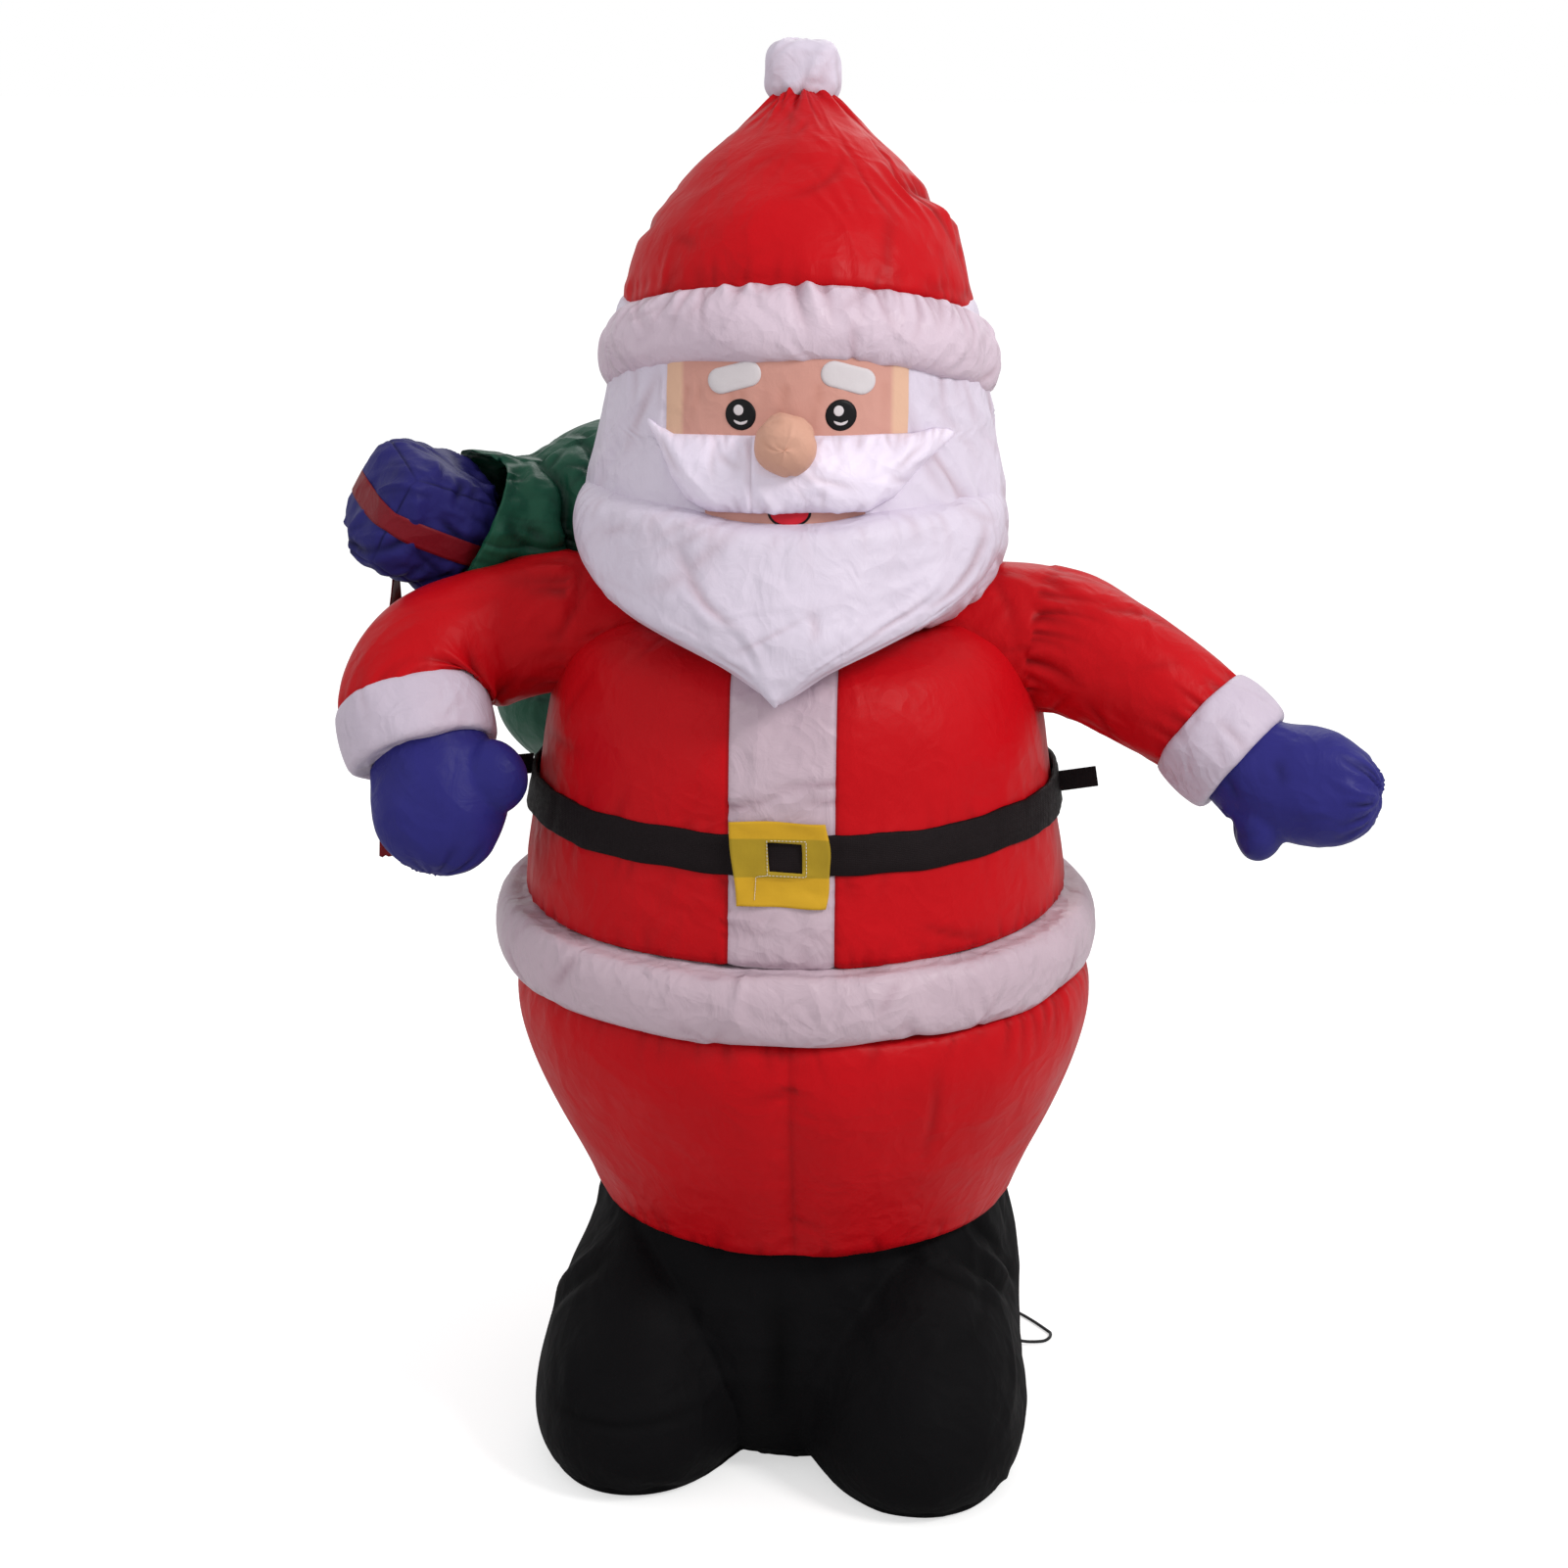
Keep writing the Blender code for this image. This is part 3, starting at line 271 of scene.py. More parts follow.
skin_graph.links.new(skin_shader.inputs["Base Color"].links[0].from_socket, skin_mix.inputs[6])
skin_graph.links.new(skin_mix.outputs[2], skin_shader.inputs["Base Color"])

# Grids of points, and the meshes made from them


def spline(points, count):
    """Points evenly spaced along a Catmull-Rom curve through the given ones, of any dimension."""
    given = np.asarray(points, float)
    padded = np.vstack([2 * given[0] - given[1], given, 2 * given[-1] - given[-2]])
    steps = np.linspace(0, 1, 24, endpoint=False)[:, None]
    fine = []
    for a, b, c, d in zip(padded, padded[1:], padded[2:], padded[3:]):
        fine.append(
            0.5 * (2 * b + (c - a) * steps + (2 * a - 5 * b + 4 * c - d) * steps**2
                   + (3 * b - a - 3 * c + d) * steps**3)
        )
    fine = np.vstack([*fine, given[-1:]])
    reach = min(3, fine.shape[1])
    run = np.concatenate([[0], np.cumsum(np.linalg.norm(np.diff(fine[:, :reach], axis=0), axis=1))])
    wanted = np.linspace(0, run[-1], count)
    return np.stack([np.interp(wanted, run, column) for column in fine.T], axis=1), wanted


def smooth_noise(seed, first, second, size):
    """Soft lumps between -1 and 1 over two coordinates in metres, the same each run."""
    rng = np.random.default_rng(seed)
    total = np.zeros(np.broadcast(first, second).shape)
    for _ in range(9):
        angle, phase = rng.uniform(0, TAU, 2)
        wave = TAU / (size * rng.uniform(0.7, 1.8))
        total += np.sin(wave * (first * math.cos(angle) + second * math.sin(angle)) + phase)
    return total / 4.2


class Cloth:
    """A surface given as a grid of points, moved along its normals by seams, folds and puckers."""

    def __init__(self, points, across, along, wrap=True, seed=1):
        self.points = np.asarray(points, float)
        self.across = np.broadcast_to(across, self.points.shape[:2]).astype(float)
        self.along = np.broadcast_to(along, self.points.shape[:2]).astype(float)
        self.wrap = wrap
        self.lift = np.zeros(self.points.shape[:2])
        # Per-point share of painted shade, set along seams and in fold valleys.
        self.painted_shade = np.zeros(self.points.shape[:2])
        self.rng = np.random.default_rng(seed)
        step = self.across[:, 1:2] - self.across[:, 0:1] if wrap else 0
        self.period = self.across[:, -1:] - self.across[:, :1] + step if wrap else np.full((len(points), 1), 1e9)

    def offset(self, at):
        away = self.across - at
        return away - self.period * np.round(away / self.period)

    def fold(self, at, start, angle, length, width, height, bend=0.0, both=False, tint=None):
        """A ridge (or valley) from a point, running at an angle from along; it fades over its length."""
        ds, dt = self.offset(at), self.along - start
        run = dt * math.cos(angle) + ds * math.sin(angle)
        off = ds * math.cos(angle) - dt * math.sin(angle) - bend * run * run
        near = (np.abs(run) < length) & (np.abs(off) < 5 * width)
        if not both:
            near &= run > -width
        r, o = run[near] / length, off[near] / width
        fade = np.clip(1 - r * r, 0, 1) ** 1.5 if both else np.clip(1 - np.abs(r), 0, 1) ** 1.2
        spread = 1 + 0.8 * np.abs(r)
        shape = np.exp(-np.abs(o / spread) ** 1.2) - 0.35 * np.exp(-((np.abs(o / spread) - 1.9) ** 2))
        self.lift[near] += height * fade * shape
        # Valleys, and folds given tint, get painted shade.
        if height < 0 if tint is None else tint:
            self.painted_shade[near] = np.maximum(self.painted_shade[near], min(1, abs(height) / 0.0025) * fade * shape)
        return self

    def puckers(self, start, way, count, length, width, height, span=None, slant=0.3):
        """Short folds that leave a seam lying across the grid; way is +1 or -1 along."""
        low, high = span or (0.0, 1.0)
        first, period = self.across[0, 0], float(np.median(self.period if self.wrap else self.across[0, -1] - self.across[0, 0]))
        for number in range(count):
            share = low + (high - low) * (number + self.rng.uniform(-0.42, 0.42)) / count
            tall = height * self.rng.uniform(0.35, 1.25) * self.rng.choice([-1, 1], p=[0.62, 0.38])
            angle = self.rng.normal(0, slant) + (math.pi if way < 0 else 0)
            self.fold(first + share * period, start, angle, length * self.rng.uniform(0.45, 1.5),
                      width * self.rng.uniform(0.7, 1.5), tall, self.rng.uniform(-4, 4))
        return self

    def crinkles(self, count, length, width, height, span=(0, 1), rows=(0, 1), angle=(0, TAU)):
        """Loose folds strewn over part of the cloth."""
        first, last = self.across.min(), self.across.max()
        low, high = self.along.min(), self.along.max()
        for _ in range(count):
            at = first + (last - first) * self.rng.uniform(*span)
            start = low + (high - low) * self.rng.uniform(*rows)
            self.fold(at, start, self.rng.uniform(*angle), length * self.rng.uniform(0.5, 1.4),
                      width * self.rng.uniform(0.7, 1.4), height * self.rng.uniform(-1, 1),
                      self.rng.uniform(-5, 5), both=True)
        return self

    def seam(self, distance, width, depth, tint=0.8):
        """A stitched seam where distance, in metres, is zero, with painted shade along its groove."""
        shape = np.exp(-(np.abs(distance) / width) ** 1.3)
        self.lift -= depth * shape
        self.painted_shade = np.maximum(self.painted_shade, tint * np.exp(-(distance / (width * 0.35)) ** 2))
        return self

    def seam_across(self, start, width, depth, tint=0.8):
        return self.seam(self.along - start, width, depth, tint)

    def calm(self, start, reach):
        """Folds die away towards a line across the grid, so that the seam there runs smooth."""
        self.lift *= np.clip(np.abs(self.along - start) / reach, 0.08, 1) ** 0.8
        return self

    def lumps(self, seed, size, height):
        radius = self.period / TAU if self.wrap else 1.0
        around = np.sin(self.across / radius) * radius if self.wrap else self.across
        other = np.cos(self.across / radius) * radius if self.wrap else self.across * 0
        self.lift += height * smooth_noise(seed, around + 0.7 * self.along, other - 0.6 * self.along, size)
        return self

    def normals(self):
        if self.wrap:
            sideways = np.roll(self.points, -1, axis=1) - np.roll(self.points, 1, axis=1)
        else:
            sideways = np.gradient(self.points, axis=1)
        normal = np.cross(sideways, np.gradient(self.points, axis=0))
        normal /= np.maximum(np.linalg.norm(normal, axis=2, keepdims=True), 1e-12)
        middle = self.points.mean(axis=(0, 1))
        return normal if (normal * (self.points - middle)).sum() > 0 else -normal

    def settle(self):
        """The points after the lift, which then starts again from nothing."""
        self.points = self.points + self.normals() * self.lift[..., None]
        self.lift[:] = 0
        return self


def mesh_object(name, points, faces, materials, chosen=None, painted_shade=None, coordinates=None):
    mesh = bpy.data.meshes.new(name)
    mesh.from_pydata([tuple(p) for p in points], [], faces)
    for material in materials:
        mesh.materials.append(material)
    if chosen is not None:
        mesh.polygons.foreach_set("material_index", np.asarray(chosen, np.int32))
    # Stores the per-point painted shade for the material.
    layer = mesh.attributes.new("painted_shade", "FLOAT", "POINT")
    layer.data.foreach_set("value", np.zeros(len(points), np.float32) if painted_shade is None else np.asarray(painted_shade, np.float32))
    work = bmesh.new()
    work.from_mesh(mesh)
    bmesh.ops.recalc_face_normals(work, faces=work.faces)
    work.to_mesh(mesh)
    work.free()
    mesh.shade_smooth()
    made = bpy.data.objects.new(name, mesh)
    scene.collection.objects.link(made)
    return made


def grid_object(name, cloth, materials, chooser=None, caps=(True, True)):
    """The mesh of a cloth grid. A wrapped one is closed at each end by a fan to its middle."""
    cloth.settle()
    rows, columns = cloth.points.shape[:2]
    points = cloth.points.reshape(-1, 3)
    painted_shade = np.clip(cloth.painted_shade, 0, 1).reshape(-1)
    index = np.arange(rows * columns).reshape(rows, columns)
    following = np.roll(index, -1, axis=1) if cloth.wrap else index[:, 1:]
    here = index if cloth.wrap else index[:, :-1]
    quads = np.stack([here[:-1], following[:-1], following[1:], here[1:]], axis=-1)
    faces = quads.reshape(-1, 4).tolist()
    chosen = np.zeros(quads.shape[:2], int) if chooser is None else chooser(cloth)[: quads.shape[0], : quads.shape[1]]
    chosen = chosen.reshape(-1).tolist()
    for wanted, row in zip(caps, (0, rows - 1)):
        if wanted and cloth.wrap:
            points = np.vstack([points, cloth.points[row].mean(axis=0)])
            painted_shade = np.append(painted_shade, 0.0)
            middle = len(points) - 1
            ring = index[row]
            faces += [(int(a), int(b), middle) for a, b in zip(ring, np.roll(ring, -1))]
            chosen += [0] * columns
    return mesh_object(name, points, faces, materials, chosen, painted_shade)


def turned_points(profile, rows, columns, angles=None):
    """A profile of (radius, height) turned round Z: points, distance round, distance along."""
    line, run = spline(profile, rows)
    turn = np.linspace(-math.pi, math.pi, columns, endpoint=False)[None, :] if angles is None else angles(line)
    radius = line[:, :1]
    points = np.stack(
        [radius * np.sin(turn), -radius * np.cos(turn), np.broadcast_to(line[:, 1:2], np.broadcast(radius, turn).shape)],
        axis=-1,
    )
    around = turn * line[:, 0].max()
    return points, np.broadcast_to(around, points.shape[:2]), np.broadcast_to(run[:, None], points.shape[:2])


def edge_angles(half_width, inside, columns):
    """Angles from the front for each row, with one column on each edge of a panel of the half width given per height."""

    def angles(line):
        edge = np.arcsin(np.clip(half_width(line[:, 1:2]) / line[:, :1], 0, 0.95))
        step = np.arange(columns)[None, :] - columns // 2
        within = step / inside * edge
        outside = edge + (np.abs(step) - inside) / (columns // 2 - inside) * (math.pi - edge)
        return np.where(np.abs(step) <= inside, within, np.sign(step) * outside)

    return angles


def placed(points, origin=(0, 0, 0), turn=None):
    """Points turned by a 3 by 3 matrix or quaternion, then moved to the origin given."""
    if turn is None:
        return points + np.array(origin)
    matrix = np.array(turn if isinstance(turn, Matrix) else turn.to_matrix())[:3, :3]
    return points @ matrix.T + np.array(origin)


def loft_points(stations, rows, columns, up=(0, 1, 0)):
    """Rings along a path. A station is (centre, half across, half along up, heading or None)."""
    centres = np.array([s[0] for s in stations], float)
    tangent = np.gradient(centres, axis=0)
    for number, station in enumerate(stations):
        if len(station) > 3:
            tangent[number] = np.array(station[3], float)
    tangent /= np.linalg.norm(tangent, axis=1, keepdims=True)
    halves = np.array([(s[1], s[2]) for s in stations], float)
    line, run = spline(np.hstack([centres, halves, tangent]), rows)
    heading = line[:, 5:8] / np.linalg.norm(line[:, 5:8], axis=1, keepdims=True)
    side = np.cross(heading, np.array(up, float))
    side /= np.linalg.norm(side, axis=1, keepdims=True)
    lift = np.cross(side, heading)
    turn = np.linspace(-math.pi, math.pi, columns, endpoint=False)
    points = (
        line[:, None, :3]
        + side[:, None] * (np.cos(turn)[None, :, None] * line[:, None, 3:4])
        + lift[:, None] * (np.sin(turn)[None, :, None] * line[:, None, 4:5])
    )
    around = turn * float(halves.max())
    return points, np.broadcast_to(around, points.shape[:2]), np.broadcast_to(run[:, None], points.shape[:2])


def tree_of(made):
    return BVHTree.FromPolygons([v.co for v in made.data.vertices], [tuple(p.vertices) for p in made.data.polygons])


def stands_for(made, *nodes):
    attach(made, "root")
    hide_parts(*nodes)
    return made


# Cord, wound into a coil behind the boots

LEAD = 0.003
LYING = LEAD / 2
HOOK_OUT = 0.066
HOOK_R = 0.016
COIL_AT = Vector((0.060, 0.262, 0))
COIL_OUT = 0.0222
COIL_IN = 0.0130
LAYER_TURNS = 3.0
LAYER_UP = 0.0031
gland_heading = Vector((math.cos(math.radians(26)), math.sin(math.radians(26)), 0))
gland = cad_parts["cord_gland"]
gland_points = [gland.matrix_world @ vertex.co for vertex in gland.data.vertices]
gland_end = max(point.dot(gland_heading) for point in gland_points)
rim = [point for point in gland_points if point.dot(gland_heading) > gland_end - 0.0002]
gland_tip = sum(rim, Vector()) / len(rim) + gland_heading * 0.0003
hook_left = Vector((-gland_heading.y, gland_heading.x, 0))
hook_start = gland_tip + gland_heading * HOOK_OUT
hook_start.z = LYING


def hook_point(degrees):
    """A point of the bend that the lead makes on the ground beside the boots."""
    return hook_start + (hook_left - Matrix.Rotation(math.radians(degrees), 3, "Z") @ hook_left) * HOOK_R


drop = gland_tip.z - LYING
coil_edge = COIL_AT + Vector((math.cos(math.radians(60)), math.sin(math.radians(60)), 0)) * 0.0258 + Vector((0, 0, LYING))
straight = coil_edge - hook_point(100)
bulge = Vector((straight.y, -straight.x, 0)) * 0.09
route = [gland_tip]
for out, down in ((0.16, 0.03), (0.40, 0.28), (0.70, 0.80)):
    route.append(gland_tip + gland_heading * (HOOK_OUT * out) - Vector((0, 0, drop * down)))
route += [hook_start, hook_point(33), hook_point(66), hook_point(100)]
for share, swell in ((0.2, 0.6), (0.5, 1.0), (0.8, 0.5), (1.0, 0.0)):
    route.append(hook_point(100) + straight * share + bulge * swell)


def coil_place(degrees, radius, height):
    angle = math.radians(degrees)
    return (COIL_AT.x + radius * math.cos(angle), COIL_AT.y + radius * math.sin(angle), LYING + height)


coil_points = []
turned_by = 60.0
for layer in range(4):
    turns = LAYER_TURNS if layer < 3 else LAYER_TURNS - 150 / 360
    steps = round(turns * 16)
    for step in range(1 if layer == 0 else 0, steps):
        gone = step / 16 / LAYER_TURNS
        radius = COIL_OUT + (COIL_IN - COIL_OUT) * (gone if layer % 2 == 0 else 1 - gone)
        if layer == 0:
            radius += 0.0036 * max(0.0, 1 - step / 5)
        coil_points.append(coil_place(turned_by + step * 22.5, radius, layer * LAYER_UP))
    turned_by += turns * 360
    if layer < 3:
        radius = COIL_IN if layer % 2 == 0 else COIL_OUT
        for step in range(8):
            rise = (1 - math.cos(math.pi * step / 8)) / 2
            coil_points.append(coil_place(turned_by + step * 22.5, radius, (layer + rise) * LAYER_UP))
        turned_by += 180
last = coil_place(turned_by, COIL_IN + (COIL_OUT - COIL_IN) * (LAYER_TURNS - 150 / 360) / LAYER_TURNS, 3 * LAYER_UP)
ROUTE_END = [last]
for share in (0.15, 0.3, 0.45, 0.6, 0.75, 0.9, 1.0):
    ease = share * share * (3 - 2 * share)
    ROUTE_END.append((last[0] + (0.0066 - last[0]) * share, last[1] + (0.268 - last[1]) * ease, last[2] + (0.015 - last[2]) * ease))
path, _ = spline([tuple(p) for p in route] + coil_points + ROUTE_END, 720)

rubber = Graph("cord rubber")
rubber.link(
    rubber.blend(rubber.noise(90, 2), (0.010, 0.010, 0.011), (0.018, 0.018, 0.020)),
    rubber.shader.inputs["Base Color"],
)
rubber.link(rubber.spread(rubber.noise(240, 2), 0.3, 0.7, 0.38, 0.52), rubber.shader.inputs["Roughness"])
rubber.bump([(rubber.noise(900, 2), 0.15, 0.0003)])
rubber.set(specular_ior_level=0.2)

cord_curve = bpy.data.curves.new("power_lead", "CURVE")
cord_curve.dimensions = "3D"
cord_curve.bevel_depth = LEAD / 2
cord_curve.bevel_resolution = 3
cord_curve.use_fill_caps = True
cord_spline = cord_curve.splines.new("POLY")
cord_spline.points.add(len(path) - 1)
for point, place in zip(cord_spline.points, path):
    point.co = (*place, 1.0)
cord_curve.materials.append(rubber.material)
power_lead = bpy.data.objects.new("power_lead", cord_curve)
scene.collection.objects.link(power_lead)
stands_for(power_lead, "power_cord", "cord_coil")

# Body of revolution: trousers, hem trim, jacket with its placket, belt

TROUSERS_SIDE = [
    (0.100, 0.4364), (0.200, 0.4366), (0.232, 0.4362), (0.2442, 0.4335), (0.2500, 0.4153), (0.2490, 0.3893),
    (0.2390, 0.3524), (0.2215, 0.3090), (0.1993, 0.2634), (0.1860, 0.2352), (0.1805, 0.2235), (0.1765, 0.2207),
    (0.160, 0.2204), (0.080, 0.2204),
]
points, around, along = turned_points(TROUSERS_SIDE, 90, 400)
trousers = Cloth(points, around, along, seed=3)
side = np.where(trousers.points[..., 1] < 0, np.abs(trousers.points[..., 0]), 9)
back = np.where(trousers.points[..., 1] > 0, np.abs(trousers.points[..., 0]), 9)
top_t = float(np.interp(-0.433, -points[:, 0, 2], along[:, 0]))
low_t = float(np.interp(-0.2225, -points[:, 0, 2], along[:, 0]))
trousers.seam(side, 0.009, 0.0035, 0.3).seam(back, 0.010, 0.0035, 0.3)
trousers.lift += 0.003 * np.exp(-(((side - 0.045) / 0.03) ** 2))
trousers.lumps(4, 0.20, 0.0016)
trousers.puckers(top_t, 1, 80, 0.034, 0.0036, 0.0014)
trousers.puckers(low_t, -1, 70, 0.034, 0.0040, 0.0016)
trousers.calm(low_t, 0.010)
for start, angle, length, tall in (
    (0.405, 1.25, 0.030, 0.0020), (0.398, -1.35, 0.045, -0.0018), (0.372, 1.15, 0.050, 0.0014),
    (0.300, -1.30, 0.040, 0.0012), (0.262, 1.35, 0.045, -0.0014), (0.246, -1.2, 0.050, 0.0015),
):
    trousers.fold(0.0, float(np.interp(-start, -points[:, 0, 2], along[:, 0])), angle, length, 0.0045, tall)
trousers.crinkles(60, 0.045, 0.0040, 0.0014)
trousers.points[..., 0] += 0.009
stands_for(grid_object("trousers_cloth", trousers, [RED]), "trousers")

TRIM_SIDE = [
    (0.100, 0.4968), (0.190, 0.4968), (0.228, 0.4966), (0.2375, 0.4950), (0.2510, 0.4955), (0.2590, 0.4830),
    (0.2610, 0.4670), (0.2590, 0.4510), (0.2530, 0.4395), (0.2455, 0.4372), (0.2250, 0.4376), (0.100, 0.4376),
]
points, around, along = turned_points(TRIM_SIDE, 66, 560)
trim = Cloth(points, around, along, seed=8)
upper_t = float(along[np.argmin(np.abs(points[:, 0, 0] - 0.2375) + 10 * (points[:, 0, 2] < 0.48)), 0])
lower_t = float(along[np.argmin(np.abs(points[:, 0, 0] - 0.2455) + 10 * (points[:, 0, 2] > 0.46)), 0])
trim.lumps(9, 0.13, 0.0020)
trim.puckers(upper_t, 1, 84, 0.036, 0.0036, 0.0020, slant=0.45)
trim.puckers(lower_t, -1, 84, 0.032, 0.0036, 0.0020, slant=0.45)
trim.crinkles(170, 0.032, 0.0036, 0.0022)
trim.calm(upper_t, 0.012).calm(lower_t, 0.012)
for at, tall, length in ((0.000, -0.0035, 0.060), (0.040, 0.0040, 0.066), (0.083, -0.0036, 0.052), (-0.070, 0.0026, 0.05),
                         (0.110, 0.0030, 0.045), (-0.155, -0.0024, 0.040), (0.170, 0.0024, 0.040)):
    trim.fold(at, upper_t, 0.25 if tall > 0 else -0.12, length, 0.0055, tall, 3.0)
stands_for(grid_object("hem_trim_cloth", trim, [SHADED_PINK_WHITE]), "jacket_trim")

JACKET_SIDE = [
    (0.060, 0.7415), (0.130, 0.7415), (0.155, 0.7404), (0.186, 0.7222), (0.203, 0.6928), (0.2130, 0.6550),
    (0.2189, 0.6097), (0.2222, 0.5877), (0.2262, 0.5607), (0.2311, 0.5289), (0.2326, 0.5080), (0.2320, 0.4995),
    (0.2290, 0.4977), (0.2200, 0.4976), (0.100, 0.4976),
]
PLACKET_HALF = 0.0435
JACKET_COLUMNS = 420
points, around, along = turned_points(JACKET_SIDE, 105, JACKET_COLUMNS, edge_angles(lambda z: PLACKET_HALF + 0 * z, 16, JACKET_COLUMNS))
jacket = Cloth(points, around, along, seed=12)
height = points[..., 2]
front = points[..., 1] < 0
from_edge = np.where(front, np.abs(points[..., 0]) - PLACKET_HALF, 9)
hem_t = float(np.interp(-0.5000, -points[:, 0, 2], along[:, 0]))
jacket.lift -= 0.0006 * np.exp(-(((height - 0.5870) / 0.016) ** 4))
jacket.lumps(13, 0.22, 0.0014)
jacket.seam(from_edge, 0.0040, 0.0016)
jacket.puckers(hem_t, -1, 100, 0.022, 0.0036, 0.0012)
for level, way in ((0.5705, 1), (0.6035, -1)):
    jacket.puckers(float(np.interp(-level, -points[:, 0, 2], along[:, 0])), way, 46, 0.030, 0.0045, 0.0010)
for number in range(34):
    level = jacket.rng.uniform(0.505, 0.725)
    where = float(np.interp(-level, -points[:, 0, 2], along[:, 0]))
    sign = jacket.rng.choice([-1, 1])
    jacket.fold(sign * PLACKET_HALF * 1.06, where, -sign * jacket.rng.uniform(1.3, 1.8), jacket.rng.uniform(0.03, 0.08), 0.0034,
                jacket.rng.uniform(-1.0, 1.0) * (0.0030 if level > 0.61 else 0.0018), 2.0)
jacket.crinkles(90, 0.05, 0.0042, 0.0013)
placket_faces = np.zeros(points.shape[:2], int)
placket_faces[:, JACKET_COLUMNS // 2 - 16 : JACKET_COLUMNS // 2 + 16] = 1
jacket_cloth = grid_object("jacket_cloth", jacket, [RED, SHADED_PINK_WHITE], lambda cloth: placket_faces)
stands_for(jacket_cloth, "jacket", "placket")


def follow(tree, x, z, above, towards=Vector((0, 1, 0)), start=-0.6):
    """The point on a surface seen from the front at x and z, moved out along the surface's normal."""
    hit, normal, _, _ = tree.ray_cast(Vector((x, start, z)), towards)
    if hit is None:
        return None
    if normal.dot(towards) > 0:
        normal = -normal
    return hit + normal * above


def radial(tree, angle, z, above):
    """The point of a surface round the Z axis at an angle from the front, moved out."""
    outward = Vector((math.sin(angle), -math.cos(angle), 0))
    hit, normal, _, _ = tree.ray_cast(outward * 0.6 + Vector((0, 0, z)), -outward)
    return hit + outward * above


BELT_LOW = 0.5735
BELT_HIGH = 0.6060
jacket_tree = tree_of(jacket_cloth)
belt_rows = [(-0.0012, 0.0), (0.0020, 0.0), (0.0030, 0.04), (0.0030, 0.35), (0.0030, 0.65), (0.0030, 0.96), (0.0020, 1.0), (-0.0012, 1.0)]
belt_columns = 360
belt_points = np.zeros((len(belt_rows), belt_columns, 3))
wobble = np.random.default_rng(5).normal(0, 1, 64)
for row, (above, share) in enumerate(belt_rows):
    for column in range(belt_columns):
        angle = TAU * column / belt_columns - math.pi
        wave = 0.0007 * math.sin(9 * angle + wobble[0]) + 0.0005 * math.sin(23 * angle + wobble[1])
        z = BELT_LOW + (BELT_HIGH - BELT_LOW) * share + wave
        belt_points[row, column] = radial(jacket_tree, angle, z, above + 0.0042 * abs(math.sin(angle)) ** 6)


def loop_object(name, points, materials):
    """A closed band: rows go round its section, columns round the body."""
    rows, columns = points.shape[:2]
    index = np.arange(rows * columns).reshape(rows, columns)
    below, beside = np.roll(index, -1, axis=0), np.roll(index, -1, axis=1)
    faces = np.stack([index, beside, np.roll(beside, -1, axis=0), below], axis=-1).reshape(-1, 4).tolist()
    return mesh_object(name, points.reshape(-1, 3), faces, materials)


WEBBING = Graph("black webbing")
WEBBING.link(
    WEBBING.blend(WEBBING.noise(60, 3), (0.0085, 0.0060, 0.0065), (0.0130, 0.0090, 0.0100)),
    WEBBING.shader.inputs["Base Color"],
)
WEBBING.link(WEBBING.spread(WEBBING.noise(300, 2), 0.3, 0.7, 0.5, 0.68), WEBBING.shader.inputs["Roughness"])
WEBBING.bump([(WEBBING.noise(26, 3), 0.3, 0.003), (weave(WEBBING, 0.0014), 0.6, 0.0005)])
WEBBING.set(specular_ior_level=0.06)
BELT_CLOTH = WEBBING.material
belt_cloth = loop_object("belt_webbing", belt_points, [BELT_CLOTH])
stands_for(belt_cloth, "belt")


# Buckle: a thin square of see-through yellow cloth, stitched round its window

BUCKLE_AT = 0.5845
buckle_graph = Graph("yellow cloth")
place = buckle_graph.node("ShaderNodeSeparateXYZ")
where = buckle_graph.node("ShaderNodeTexCoord")
buckle_graph.link(where.outputs["Object"], place.inputs["Vector"])
over_belt = buckle_graph.math(
    "MULTIPLY",
    buckle_graph.spread(place.outputs["Z"], BELT_LOW - 0.0006, BELT_LOW + 0.0006),
    buckle_graph.spread(place.outputs["Z"], BELT_HIGH - 0.0006, BELT_HIGH + 0.0006, 1.0, 0.0),
)
yellow = buckle_graph.blend(buckle_graph.noise(40, 3), (0.60, 0.345, 0.020), (0.52, 0.29, 0.014))
olive = buckle_graph.blend(buckle_graph.noise(60, 3), (0.40, 0.265, 0.018), (0.33, 0.215, 0.014))
see_through = buckle_graph.node("ShaderNodeMix")
see_through.data_type = "RGBA"
buckle_graph.link(over_belt, see_through.inputs["Factor"])
buckle_graph.link(yellow, see_through.inputs[6])
buckle_graph.link(olive, see_through.inputs[7])
buckle_graph.link(see_through.outputs[2], buckle_graph.shader.inputs["Base Color"])
buckle_graph.link(buckle_graph.spread(buckle_graph.noise(50, 2), 0.3, 0.7, 0.42, 0.56), buckle_graph.shader.inputs["Roughness"])
buckle_graph.bump([(buckle_graph.noise(45, 4), 0.3, 0.003), (weave(buckle_graph, 0.0011), 0.15, 0.0002)])
buckle_graph.set(specular_ior_level=0.15)
BUCKLE_CLOTH = buckle_graph.material

